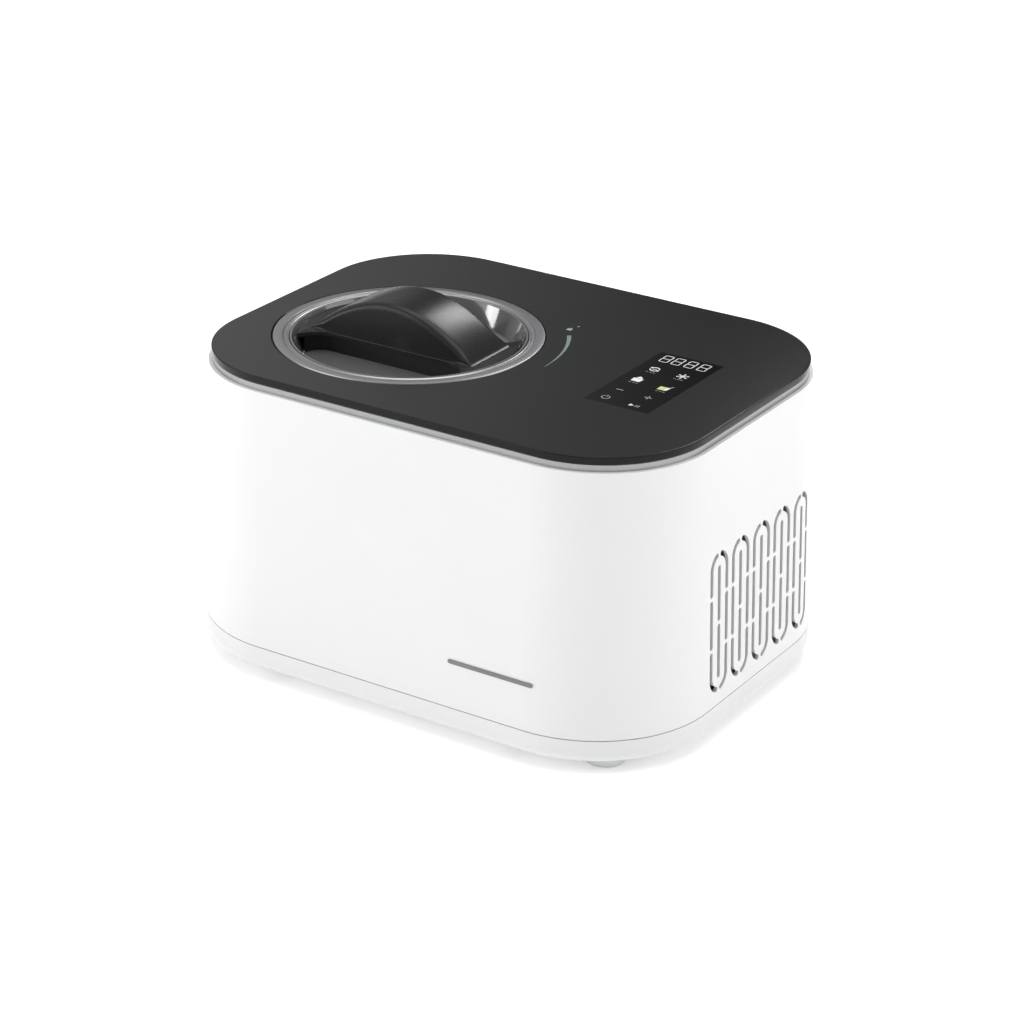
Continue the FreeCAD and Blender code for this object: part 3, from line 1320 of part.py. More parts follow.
def touch_springs():
    """Eight coil springs that carry each touch key's field up to the glass."""
    bottom = DISPLAY_BOARD_BOTTOM + BOARD_THICK
    springs = []
    for row in range(KEY_ROWS):
        for side in (-KEY_HALF_X, KEY_HALF_X):
            springs.append(ring(SPRING_INNER, SPRING_OUTER, bottom, bottom + SPRING_HEIGHT,
                                DISPLAY_X + side, KEY_FIRST_Y - row * KEY_PITCH))
    return group(springs)


def power_board():
    top = BOARD_POST_TOP + BOARD_THICK
    board = block(*POWER_BOARD, BOARD_POST_TOP, top)
    for x, y in BOARD_SPOTS:
        board = board.cut(cylinder(POWER_BOARD_HOLE, BOARD_POST_TOP - 1, top + 1, x, y))
    return board


def power_components():
    top = BOARD_POST_TOP + BOARD_THICK
    pieces = [block(*TRANSFORMER, top, top + TRANSFORMER_HEIGHT)]
    for step in range(2):
        relay = block(*RELAY, top, top + RELAY_HEIGHT)
        relay.translate(V(0, step * RELAY_PITCH, 0))
        pieces.append(relay)
        x, y = CAPACITOR_SPOT
        pieces.append(cylinder(CAPACITOR_RADIUS, top, top + CAPACITOR_HEIGHT, x, y + step * CAPACITOR_PITCH))
    return group(pieces)


def small_screw(x, y, seat, tip):
    """A screw that points down from its seat."""
    head = cylinder(SMALL_HEAD, seat, seat + SMALL_HEAD_HEIGHT, x, y)
    return join([head, cylinder(SMALL_SHANK, tip, seat + 0.5 * SMALL_HEAD_HEIGHT, x, y)])


def board_screws():
    return group([small_screw(x, y, BOARD_POST_TOP + BOARD_THICK, FOOT_BOSS_TOP - 1) for x, y in BOARD_SPOTS])


def bracket_screws():
    seat = BRACKET_BOSS_TOP + BRACKET_SHEET
    return group([small_screw(x, y, seat, PAN_FLOOR + 0.5) for x, y in bracket_feet()])


# ---------------------------------------------------------------- export
NODES = {
    "body_shell": body_shell, "base_pan": base_pan, "trim_frame": trim_frame, "glass_top": glass_top,
    "display_window": display_window, "front_badge": front_badge, "cord_gland": cord_gland,
    "foot_screws": foot_screws, "base_screws": base_screws,
    "bezel_ring": bezel_ring, "well_collar": well_collar, "top_tray": top_tray, "collar_screws": collar_screws,
    "evaporator_drum": evaporator_drum, "evaporator_coil": evaporator_coil, "foam_insulation": foam_insulation,
    "bowl": bowl, "paddle": paddle, "drive_shaft": drive_shaft, "output_gear": output_gear,
    "lid_seal": lid_seal, "lid_cover": lid_cover, "lid_handle": lid_handle, "lid_handle_base": lid_handle_base,
    "lid_handle_screws": lid_handle_screws,
    "motor_pinion": pinion, "motor_shaft": motor_shaft, "drive_motor": drive_motor,
    "gear_housing": gear_housing, "gear_cover": gear_cover, "shaft_seal": shaft_seal,
    "drive_bracket": drive_bracket, "bracket_screws": bracket_screws,
    "compressor": compressor, "compressor_base": compressor_base, "compressor_grommets": compressor_grommets,
    "terminal_cover": terminal_cover, "condenser_fins": condenser_fins, "condenser_tube": condenser_tube,
    "fan_frame": fan_frame, "fan_rotor": fan_rotor, "suction_pipe": suction_pipe,
    "capillary_pipe": capillary_pipe, "discharge_pipe": discharge_pipe, "filter_drier": filter_drier,
    "display_board": display_board, "digit_module": digit_module, "touch_springs": touch_springs,
    "power_board": power_board, "power_components": power_components, "board_screws": board_screws,
}

for name, build in NODES.items():
    export(name, build())
for name, (side_x, side_y) in zip(CORNER_NAMES, CORNERS):
    export("foot_" + name, foot(side_x * FOOT_X, side_y * FOOT_Y))
export("shaft_bush_lower", shaft_bush(*BUSH_LOWER))
export("shaft_bush_upper", shaft_bush(*BUSH_UPPER))
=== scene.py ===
import bmesh
import bpy
import json
import math
from mathutils import Matrix, Vector


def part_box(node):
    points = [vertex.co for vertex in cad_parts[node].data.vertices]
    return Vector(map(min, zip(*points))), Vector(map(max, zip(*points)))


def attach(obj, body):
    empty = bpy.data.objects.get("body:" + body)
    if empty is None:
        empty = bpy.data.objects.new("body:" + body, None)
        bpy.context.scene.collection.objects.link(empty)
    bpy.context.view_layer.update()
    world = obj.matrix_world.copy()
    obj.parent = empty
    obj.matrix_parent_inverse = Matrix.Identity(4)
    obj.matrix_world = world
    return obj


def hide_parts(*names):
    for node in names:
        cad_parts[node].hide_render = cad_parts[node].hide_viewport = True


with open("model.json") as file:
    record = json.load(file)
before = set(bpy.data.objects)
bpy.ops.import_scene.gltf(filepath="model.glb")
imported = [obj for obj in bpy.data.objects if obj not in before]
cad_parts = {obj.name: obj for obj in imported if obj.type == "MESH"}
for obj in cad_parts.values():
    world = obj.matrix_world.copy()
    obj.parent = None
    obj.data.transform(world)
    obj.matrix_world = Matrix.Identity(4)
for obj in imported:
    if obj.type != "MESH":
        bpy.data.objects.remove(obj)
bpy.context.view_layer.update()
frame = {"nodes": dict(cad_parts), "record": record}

# ---------------------------------------------------------------- places, from the frame (metres)
GLASS_LOW, GLASS_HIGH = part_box("glass_top")
WINDOW_LOW, WINDOW_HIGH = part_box("display_window")
RING_LOW, RING_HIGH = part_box("bezel_ring")
GLASS_Z = GLASS_HIGH.z
LID = Vector((0.5 * (RING_LOW.x + RING_HIGH.x), 0.5 * (RING_LOW.y + RING_HIGH.y), GLASS_Z))
WINDOW = Vector((0.5 * (WINDOW_LOW.x + WINDOW_HIGH.x), 0.5 * (WINDOW_LOW.y + WINDOW_HIGH.y), WINDOW_HIGH.z))
MM = 0.001
PRINT_THICKNESS = 0.06 * MM


# ---------------------------------------------------------------- materials
def new_material(name):
    material = bpy.data.materials.new(name)
    material.use_nodes = True
    tree = material.node_tree
    return material, tree, tree.nodes["Principled BSDF"]


def link(tree, source, target):
    tree.links.new(source, target)


def noise(tree, scale, detail=4.0, stretch=(1, 1, 1)):
    """Noise in the row frame, in features per metre."""
    place = tree.nodes.new("ShaderNodeTexCoord")
    mapping = tree.nodes.new("ShaderNodeMapping")
    mapping.inputs["Scale"].default_value = stretch
    texture = tree.nodes.new("ShaderNodeTexNoise")
    texture.inputs["Scale"].default_value = scale
    texture.inputs["Detail"].default_value = detail
    link(tree, place.outputs["Object"], mapping.inputs["Vector"])
    link(tree, mapping.outputs["Vector"], texture.inputs["Vector"])
    return texture


def spread(tree, source, low, high, out_low, out_high):
    """Maps a value's range to another one."""
    node = tree.nodes.new("ShaderNodeMapRange")
    node.inputs["From Min"].default_value = low
    node.inputs["From Max"].default_value = high
    node.inputs["To Min"].default_value = out_low
    node.inputs["To Max"].default_value = out_high
    link(tree, source, node.inputs["Value"])
    return node.outputs["Result"]


def tint(tree, factor, dark, light):
    mix = tree.nodes.new("ShaderNodeMix")
    mix.data_type = "RGBA"
    mix.inputs[6].default_value = (*dark, 1)
    mix.inputs[7].default_value = (*light, 1)
    link(tree, factor, mix.inputs[0])
    return mix.outputs[2]


def surface(name, color, rough, metal=0.0, vary=0.04, grain=(900, 0.02), cloud=14.0,
            stretch=(1, 1, 1), rough_vary=0.05, **sockets):
    """A finish with soft colour clouds, uneven gloss and a fine grain in the surface."""
    material, tree, shader = new_material(name)
    clouds = noise(tree, cloud)
    share = spread(tree, clouds.outputs["Fac"], 0.3, 0.7, 0.0, 1.0)
    dark = [max(0.0, c * (1 - vary)) for c in color]
    light = [min(1.0, c * (1 + vary)) for c in color]
    link(tree, tint(tree, share, dark, light), shader.inputs["Base Color"])
    fine = noise(tree, grain[0], 3.0, stretch)
    lowest, highest = max(0.02, rough - rough_vary), rough + rough_vary
    link(tree, spread(tree, fine.outputs["Fac"], 0.25, 0.75, lowest, highest), shader.inputs["Roughness"])
    bump = tree.nodes.new("ShaderNodeBump")
    bump.inputs["Strength"].default_value = grain[1]
    bump.inputs["Distance"].default_value = 0.0002
    link(tree, fine.outputs["Fac"], bump.inputs["Height"])
    link(tree, bump.outputs["Normal"], shader.inputs["Normal"])
    shader.inputs["Metallic"].default_value = metal
    for socket, value in sockets.items():
        shader.inputs[socket.replace("_", " ")].default_value = value
    return material


def glowing(name, color, strength):
    """Lit segments and icons: slightly uneven light through a diffuser."""
    material = surface(name, color, 0.35, vary=0.08, cloud=500.0)
    shader = material.node_tree.nodes["Principled BSDF"]
    shader.inputs["Emission Color"].default_value = (*color, 1)
    shader.inputs["Emission Strength"].default_value = strength
    return material


LONG_X = (0.03, 1, 1)
MATERIALS = {
    "shell_white": surface("shell_white", (0.84, 0.84, 0.845), 0.34, vary=0.008, grain=(2600, 0.03),
                           Coat_Weight=0.35, Coat_Roughness=0.12),
    "base_white": surface("base_white", (0.82, 0.82, 0.825), 0.38, vary=0.01, grain=(1800, 0.05)),
    "foot_grey": surface("foot_grey", (0.64, 0.645, 0.65), 0.5, vary=0.06, grain=(2200, 0.12),
                         Subsurface_Weight=0.1),
    "trim_silver": surface("trim_silver", (0.36, 0.365, 0.37), 0.3, 0.75, vary=0.03, grain=(2400, 0.03),
                           stretch=LONG_X),
    "top_glass": surface("top_glass", (0.012, 0.0125, 0.0125), 0.2, vary=0.05, grain=(3200, 0.03),
                         Coat_Weight=0.05, Coat_Roughness=0.08),
    "window_black": surface("window_black", (0.003, 0.003, 0.0032), 0.08, vary=0.1, grain=(2500, 0.01)),
    "badge_grey": surface("badge_grey", (0.20, 0.20, 0.205), 0.3, 0.8, grain=(2500, 0.04), stretch=LONG_X),
    "ring_satin": surface("ring_satin", (0.36, 0.36, 0.37), 0.34, 0.85, vary=0.03, grain=(2600, 0.05)),
    "well_plastic": surface("well_plastic", (0.03, 0.03, 0.032), 0.5, grain=(1800, 0.1)),
    "lid_smoke": surface("lid_smoke", (0.13, 0.13, 0.132), 0.10, vary=0.04, grain=(1500, 0.01),
                         Coat_Weight=0.6, Coat_Roughness=0.04),
    "handle_black": surface("handle_black", (0.019, 0.019, 0.0195), 0.28, vary=0.06, grain=(2800, 0.05),
                            Specular_IOR_Level=0.26),
    # The band under the grip is a real part, but its near-black colour, darker and duller than the grip, is
    # painted shade for the shadow and reflection beneath the handle's front face.
    "handle_band": surface("handle_band", (0.004, 0.004, 0.0042), 0.55, vary=0.1, grain=(2000, 0.1)),
    "seal_silicone": surface("seal_silicone", (0.42, 0.42, 0.40), 0.45, grain=(900, 0.05)),
    "bowl_aluminium": surface("bowl_aluminium", (0.78, 0.78, 0.79), 0.28, 1.0, grain=(1500, 0.05),
                              stretch=(1, 1, 0.04)),
    "drum_aluminium": surface("drum_aluminium", (0.7, 0.71, 0.72), 0.35, 1.0, grain=(900, 0.06)),
    "paddle_plastic": surface("paddle_plastic", (0.74, 0.75, 0.75), 0.4, grain=(1400, 0.06)),
    "shaft_steel": surface("shaft_steel", (0.6, 0.6, 0.6), 0.25, 1.0, grain=(2400, 0.05), stretch=(1, 1, 20)),
    "steel_sheet": surface("steel_sheet", (0.62, 0.63, 0.64), 0.35, 1.0, vary=0.08, grain=(600, 0.06)),
    "screw_steel": surface("screw_steel", (0.6, 0.6, 0.6), 0.22, 1.0, grain=(2000, 0.05)),
    "bush_bronze": surface("bush_bronze", (0.55, 0.38, 0.2), 0.4, 1.0, vary=0.1, grain=(2600, 0.2)),
    "gear_plastic": surface("gear_plastic", (0.80, 0.76, 0.64), 0.45, grain=(1500, 0.06)),
    "motor_can": surface("motor_can", (0.25, 0.26, 0.27), 0.35, 0.8, grain=(900, 0.06)),
    "foam": surface("foam", (0.80, 0.72, 0.48), 0.8, vary=0.12, grain=(500, 0.6), cloud=60.0),
    "copper": surface("copper", (0.72, 0.36, 0.2), 0.3, 1.0, vary=0.12, grain=(1200, 0.06)),
    "fin_aluminium": surface("fin_aluminium", (0.75, 0.76, 0.77), 0.32, 1.0, grain=(900, 0.05)),
    "compressor_black": surface("compressor_black", (0.012, 0.012, 0.012), 0.3, grain=(700, 0.15),
                                Coat_Weight=0.5),
    "grommet_rubber": surface("grommet_rubber", (0.02, 0.02, 0.02), 0.7, grain=(1200, 0.2)),
    "black_plastic": surface("black_plastic", (0.02, 0.02, 0.021), 0.5, grain=(1500, 0.12)),
    "fan_grey": surface("fan_grey", (0.05, 0.05, 0.055), 0.45, grain=(1400, 0.1)),
    "board_green": surface("board_green", (0.02, 0.16, 0.07), 0.35, vary=0.1, grain=(700, 0.1), cloud=300.0),
    "digit_white": surface("digit_white", (0.8, 0.8, 0.8), 0.4, grain=(1500, 0.05)),
    "component_blue": surface("component_blue", (0.04, 0.09, 0.25), 0.35, grain=(900, 0.06)),
}


def paint_nodes():
    for entry in frame["record"]["subparts"]:
        node = frame["nodes"][entry["node"]]
        for slot in node.material_slots:
            slot.material = MATERIALS[entry["material_slot"]]


# ---------------------------------------------------------------- flat marks
def bar(x, y, width, height, degrees=0.0):
    """Corners of a bar centred at x, y, in millimetres."""
    turn = math.radians(degrees)
    half_w, half_h = width / 2, height / 2
    corners = [(-half_w, -half_h), (half_w, -half_h), (half_w, half_h), (-half_w, half_h)]
    return [(x + a * math.cos(turn) - b * math.sin(turn), y + a * math.sin(turn) + b * math.cos(turn))
            for a, b in corners]


def segment(x, y, length, width, upright):
    """One stroke of a digit, with pointed ends."""
    half, side = length / 2, width / 2
    points = [(-half, 0), (side - half, -side), (half - side, -side), (half, 0), (half - side, side),
              (side - half, side)]
    if upright:
        return [(x - b, y + a) for a, b in points]
    return [(x + a, y + b) for a, b in points]


def arc_band(x, y, inner, outer, start, stop, steps=24):
    """Band of a circle; inner and outer may be (at start, at stop) pairs."""
    rims = []
    for rim in (inner, outer):
        first, last = rim if isinstance(rim, tuple) else (rim, rim)
        points = []
        for step in range(steps + 1):
            share = step / steps
            turn = math.radians(start + (stop - start) * share)
            radius = first + (last - first) * share
            points.append((x + radius * math.cos(turn), y + radius * math.sin(turn)))
        rims.append(points)
    return rims


def flat_piece(name, outlines, bands, z, material, body="housing"):
    """A thin raised print: closed outlines and circle bands, in millimetres, at height z in metres."""
    vertices = []
    faces = []

    def add(points, height):
        first = len(vertices)
        vertices.extend([(px * MM, py * MM, z + height) for px, py in points])
        return list(range(first, first + len(points)))

    for points in outlines:
        low = add(points, 0.0)
        high = add(points, PRINT_THICKNESS)
        count = len(points)
        faces.append(tuple(high))
        faces.append(tuple(reversed(low)))
        for i in range(count):
            j = (i + 1) % count
            faces.append((low[i], low[j], high[j], high[i]))
    for inner, outer in bands:
        for i in range(len(inner) - 1):
            quad = [inner[i], outer[i], outer[i + 1], inner[i + 1]]
            low = add(quad, 0.0)
            high = add(quad, PRINT_THICKNESS)
            faces.append(tuple(high))
            faces.append(tuple(reversed(low)))
            for k in range(4):
                faces.append((low[k], low[(k + 1) % 4], high[(k + 1) % 4], high[k]))
    mesh = bpy.data.meshes.new(name)
    mesh.from_pydata(vertices, [], faces)
    mesh.update()
    piece = bpy.data.objects.new(name, mesh)
    bpy.context.scene.collection.objects.link(piece)
    mesh.materials.append(material)
    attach(piece, body)
    return piece


DIGIT_WIDTH = 6.0
DIGIT_HEIGHT = 11.4
DIGIT_STROKE = 0.62
DIGIT_GAP = 0.3
DIGIT_STEPS = (-14.2, -5.2, 4.6, 14.3)
DIGIT_ROW = 40.0


def digit(x, y):
    """A full seven-stroke digit."""
    half_w = DIGIT_WIDTH / 2
    half_h = DIGIT_HEIGHT / 2
    length = DIGIT_WIDTH - DIGIT_GAP
    strokes = [segment(x, y + level * half_h, length, DIGIT_STROKE, False) for level in (-1, 0, 1)]
    for sx in (-1, 1):
        for sy in (-0.5, 0.5):
            strokes.append(segment(x + sx * half_w, y + sy * half_h, half_h - DIGIT_GAP, DIGIT_STROKE, True))
    return strokes


def display_marks():
    x, y = WINDOW.x / MM, WINDOW.y / MM
    white, green, bands, dim, dim_bands = [], [], [], [], []
    for step in DIGIT_STEPS:
        white.extend(digit(x + step, y + DIGIT_ROW))
    stir_x, stir_y = x - 11.4, y + 19.6
    for start in (15, 195):
        bands.append(arc_band(stir_x, stir_y, 2.7, 3.6, start, start + 125))
        turn = math.radians(start + 125)
        tip = (stir_x + 3.15 * math.cos(turn), stir_y + 3.15 * math.sin(turn))
        away = (-math.sin(turn), math.cos(turn))
        out = (math.cos(turn), math.sin(turn))
        white.append([(tip[0] - out[0] * 1.4, tip[1] - out[1] * 1.4),
                      (tip[0] + out[0] * 1.4, tip[1] + out[1] * 1.4),
                      (tip[0] + away[0] * 2.0, tip[1] + away[1] * 2.0)])
    white.append(bar(stir_x, stir_y, 3.0, 0.7, 45))
    flake_x, flake_y = x + 10.3, y + 18.7
    for degrees in (0, 60, 120):
        white.append(bar(flake_x, flake_y, 8.6, 1.0, degrees + 90))
        for side in (-1, 1):
            turn = math.radians(degrees + 90)
            reach = side * 2.3
            for lean in (-35, 35):
                white.append(bar(flake_x + reach * math.cos(turn), flake_y + reach * math.sin(turn), 2.0, 0.5,
                                 degrees + 90 + lean * side))
    jar_x, jar_y = x - 11.5, y - 3.0
    white.append([(jar_x - 3.2, jar_y - 3.0), (jar_x + 3.0, jar_y - 3.0), (jar_x + 3.6, jar_y + 2.2),
                  (jar_x - 3.8, jar_y + 2.2)])
    white.append([(jar_x - 2.6, jar_y + 2.8), (jar_x + 2.4, jar_y + 2.8), (jar_x + 0.6, jar_y + 5.6),
                  (jar_x - 0.8, jar_y + 5.6)])
    cup_x, cup_y = x + 10.9, y - 6.8
    green.append([(cup_x - 3.8, cup_y - 3.0), (cup_x + 0.4, cup_y - 3.0), (cup_x + 0.8, cup_y + 2.6),
                  (cup_x - 3.8, cup_y + 2.6)])
    white.append([(cup_x + 0.6, cup_y - 3.0), (cup_x + 2.8, cup_y - 2.6), (cup_x + 3.6, cup_y + 2.6),
                  (cup_x + 1.0, cup_y + 2.6)])
    dim.append(bar(cup_x + 3.6, cup_y + 4.2, 0.8, 3.2, -25))
    dim.append(bar(x - 12.0, y - 24.4, 5.2, 0.9))
    dim.append(bar(x + 10.4, y - 26.3, 5.2, 0.9))
    dim.append(bar(x + 10.4, y - 26.3, 0.9, 5.2))
    dim_bands.append(arc_band(x - 12.9, y - 40.6, 2.4, 3.1, 115, 425))
    dim.append(bar(x - 12.9, y - 38.4, 0.7, 2.9))
    play_x, play_y = x + 9.9, y - 43.0
    white.append([(play_x - 3.6, play_y - 1.8), (play_x - 0.4, play_y), (play_x - 3.6, play_y + 1.8)])
    dim.append(bar(play_x + 1.2, play_y, 0.8, 3.4))
    dim.append(bar(play_x + 3.0, play_y, 0.8, 3.4))
    for cap_x, cap_y in ((stir_x, stir_y - 6.2), (flake_x, flake_y - 6.4), (jar_x, jar_y - 5.6),
                         (cup_x, cup_y - 5.6)):
        for step, width in ((-2.4, 1.8), (0.2, 1.6), (2.6, 2.0)):
            dim.append(bar(cap_x + step, cap_y, width, 0.55))
    z = GLASS_Z + PRINT_THICKNESS
    lit = glowing("segments_lit", (0.68, 0.69, 0.67), 0.2)
    pale = glowing("segments_pale", (0.28, 0.29, 0.28), 0.05)
    lime = glowing("segment_green", (0.45, 0.58, 0.20), 0.15)
    flat_piece("display_marks", white, bands, z, lit)
    flat_piece("display_marks_dim", dim, dim_bands, z, pale)
    flat_piece("display_mark_green", green, [], z, lime)


LOCK_RADIUS = 110.0
LOCK_DEG = 39.0
TICK_RADIUS = 116.5
TICK_DEG = 41.0


def lock_marks():
    """The tapered arc that shows which way the lid locks, with a small padlock at its end."""
    x, y = LID.x / MM, LID.y / MM
    print_grey = surface("print_grey_green", (0.17, 0.23, 0.22), 0.4, vary=0.05, grain=(1800, 0.05))
    arc = arc_band(x, y, (108.3, 107.0), (108.7, 110.0), 0.0, 32.5, 48)
    flat_piece("lock_arc", [], [arc], GLASS_Z, print_grey)
    turn = math.radians(LOCK_DEG)
    lock_x = x + LOCK_RADIUS * math.cos(turn)
    lock_y = y + LOCK_RADIUS * math.sin(turn)
    bright = surface("print_pale", (0.34, 0.40, 0.39), 0.4, vary=0.05, grain=(1800, 0.05))
    tick_turn = math.radians(TICK_DEG)
    tick_x = x + TICK_RADIUS * math.cos(tick_turn)
    tick_y = y + TICK_RADIUS * math.sin(tick_turn)
    tick = bar(tick_x, tick_y, 2.0, 0.9, TICK_DEG)
    flat_piece("lock_icon", [bar(lock_x, lock_y - 1.0, 3.6, 2.8), tick],
               [arc_band(lock_x, lock_y + 0.5, 1.0, 1.6, 0, 180, 12)], GLASS_Z, bright)


# ---------------------------------------------------------------- modelled pieces
def add_mesh(name, vertices, faces, materials, body, sharp_deg=30.0):
    """A smooth-shaded piece with crisp edges where faces meet at more than sharp_deg."""
    mesh = bpy.data.meshes.new(name)
    mesh.from_pydata(vertices, [], faces)
    work = bmesh.new()
    work.from_mesh(mesh)
    bmesh.ops.remove_doubles(work, verts=work.verts, dist=1e-6)
    bmesh.ops.recalc_face_normals(work, faces=work.faces)
    work.to_mesh(mesh)
    work.free()
    mesh.polygons.foreach_set("use_smooth", [True] * len(mesh.polygons))
    mesh.set_sharp_from_angle(angle=math.radians(sharp_deg))
    for material in materials:
        mesh.materials.append(material)
    piece = bpy.data.objects.new(name, mesh)
    bpy.context.scene.collection.objects.link(piece)
    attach(piece, body)
    return piece


def lathe(name, profile, steps, material, body, sharp_deg=30.0):
    """Turns a closed profile of (radius, height above the glass), in millimetres, about the lid's axis."""
    vertices = []
    for step in range(steps):
        turn = 2 * math.pi * step / steps
        for radius, height in profile:
            vertices.append((LID.x + radius * MM * math.cos(turn), LID.y + radius * MM * math.sin(turn),
                             GLASS_Z + height * MM))
    count = len(profile)
    faces = []
    for step in range(steps):
        following = (step + 1) % steps
        for i in range(count):
            j = (i + 1) % count
            faces.append((step * count + i, following * count + i, following * count + j, step * count + j))
    return add_mesh(name, vertices, faces, [material], body, sharp_deg)


def arc_points(cx, cy, radius, start, stop, steps):
    points = []
    for step in range(steps + 1):
        turn = math.radians(start + (stop - start) * step / steps)
        points.append((cx + radius * math.cos(turn), cy + radius * math.sin(turn)))
    return points


GLASS_CORNER = 78.3
EDGE_ROUND = 0.6


def rounded_rectangle(half_x, half_y, corner, steps=28):
    points = []
    for sx, sy, start in ((1, 1, 0), (-1, 1, 90), (-1, -1, 180), (1, -1, 270)):
        cx, cy = sx * (half_x - corner), sy * (half_y - corner)
        points.extend(arc_points(cx, cy, corner, start, start + 90, steps))
    return points


def glass_plate():
    """The dark top: satin face, polished edge and a round opening for the lid."""
    curve = bpy.data.curves.new("glass_plate_outline", "CURVE")
    curve.dimensions = "2D"
    curve.fill_mode = "BOTH"
    thickness = (GLASS_HIGH.z - GLASS_LOW.z) / MM
    curve.extrude = (0.5 * thickness - EDGE_ROUND) * MM
    curve.bevel_depth = EDGE_ROUND * MM
    curve.bevel_resolution = 3
    half_x = 0.5 * (GLASS_HIGH.x - GLASS_LOW.x) / MM - EDGE_ROUND
    half_y = 0.5 * (GLASS_HIGH.y - GLASS_LOW.y) / MM - EDGE_ROUND
    outline = rounded_rectangle(half_x, half_y, GLASS_CORNER - EDGE_ROUND)
    opening = arc_points(LID.x / MM, LID.y / MM, OPENING_RADIUS + EDGE_ROUND, 0, 357.5, 143)
    for points in (outline, opening):
        spline = curve.splines.new("POLY")
        spline.points.add(len(points) - 1)
        for point, (x, y) in zip(spline.points, points):
            point.co = (x * MM, y * MM, 0, 1)
        spline.use_cyclic_u = True
    holder = bpy.data.objects.new("glass_plate_curve", curve)
    bpy.context.scene.collection.objects.link(holder)
    bpy.context.view_layer.update()
    mesh = bpy.data.meshes.new_from_object(holder.evaluated_get(bpy.context.evaluated_depsgraph_get()))
    bpy.data.objects.remove(holder)
    middle = 0.5 * (GLASS_HIGH.z + GLASS_LOW.z)
    vertices = [(v.co.x, v.co.y, v.co.z + middle) for v in mesh.vertices]
    faces = [tuple(p.vertices) for p in mesh.polygons]
    plate = add_mesh("glass_plate", vertices, faces, [MATERIALS["top_glass"], polished_edge()], "housing")
    for polygon in plate.data.polygons:
        level = abs(polygon.normal.z) > 0.999
        polygon.material_index = 0 if level else 1
        polygon.use_smooth = not level
    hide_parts("glass_top")


def polished_edge():
    return surface("glass_edge", (0.005, 0.005, 0.005), 0.1, vary=0.2, grain=(1500, 0.01),
                   Specular_IOR_Level=0.22)


def window_pane():
    """The display's black window, a hair proud of the plate."""
    width = (WINDOW_HIGH.x - WINDOW_LOW.x) / MM
    depth = (WINDOW_HIGH.y - WINDOW_LOW.y) / MM
    outline = bar(WINDOW.x / MM, WINDOW.y / MM, width, depth)
    pane = flat_piece("window_pane", [outline], [], GLASS_Z, MATERIALS["window_black"])
    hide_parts("display_window")


OPENING_RADIUS = 93.1
RING_PROFILE = [(81.3, -14.0), (81.3, -0.9), (81.5, -0.45), (81.9, -0.2), (82.4, -0.2), (83.0, -0.5),
                (83.5, -0.95), (84.4, -1.1), (85.2, -0.8), (85.6, -0.1), (86.0, 0.2), (91.6, 0.3),
                (92.2, 0.1), (92.5, -0.5), (92.5, -3.0), (82.8, -3.0), (82.8, -14.0)]


def bezel():
    """Satin ring with a rolled inner lip and a shallow groove behind it."""
    ring = lathe("bezel_trim", RING_PROFILE, 240, MATERIALS["ring_satin"], "housing", 25.0)
    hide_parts("bezel_ring")


HANDLE_HALF = 23.0
HANDLE_RISE = 27.0
HANDLE_CURVE = 0.0068
HANDLE_REACH = 77.0
SHOULDER = -2.4
PANEL_LOW = -5.4
FLARE_START = 44.0
FLARE_END_DEG = 30.0
FLARE_POWER = 2.6
SHOULDER_BLEND = 0.5
FILLET_LIMIT = 5.2
EDGE_LIMIT = 0.8
COVE_LIMIT = 1.6
STATION_COUNT = 110
END_GAP = 0.4


def handle_width(x):
    """Half width of the handle seen from above: a bar whose ends flare out to the rim."""
    reach = abs(x)
    end_x = HANDLE_REACH * math.cos(math.radians(FLARE_END_DEG))
    end_y = HANDLE_REACH * math.sin(math.radians(FLARE_END_DEG))
    on_circle = math.sqrt(max(0.0, HANDLE_REACH ** 2 - x * x))
    if reach <= FLARE_START:
        return HANDLE_HALF
    if reach < end_x:
        share = (reach - FLARE_START) / (end_x - FLARE_START)
        return HANDLE_HALF + (end_y - HANDLE_HALF) * share ** FLARE_POWER
    return on_circle


def handle_height(x):
    arch = HANDLE_RISE - HANDLE_CURVE * x * x
    return SHOULDER + SHOULDER_BLEND * math.log1p(math.exp((arch - SHOULDER) / SHOULDER_BLEND))


def handle_section(x):
    """One side of the cross-section, from the outer bottom edge up to the middle of the crown."""
    width = handle_width(x)
    top = handle_height(x)
    half = min(HANDLE_HALF, width - 0.01)
    rise = top - SHOULDER
    fillet = max(0.05, min(FILLET_LIMIT, 0.62 * rise, 0.5 * half))
    edge = min(EDGE_LIMIT, 0.3 * max(0.05, width))
    cove = min(COVE_LIMIT, 0.3 * rise, max(0.02, 0.5 * (width - half)))
    points = [(width, PANEL_LOW), (width, SHOULDER - edge)]
    points.extend(arc_points(width - edge, SHOULDER - edge, edge, 0, 90, 3)[1:])
    points.append((half + cove, SHOULDER))
    points.extend(arc_points(half + cove, SHOULDER + cove, cove, 270, 180, 3)[1:])
    points.append((half, top - fillet))
    points.extend(arc_points(half - fillet, top - fillet, fillet, 0, 90, 8)[1:])
    crown = 0.5 * min(1.0, rise / 20.0)
    inner = half - fillet
    for share in (0.75, 0.5, 0.25, 0.0):
        points.append((inner * share, top + crown * (1 - share * share)))
    return points


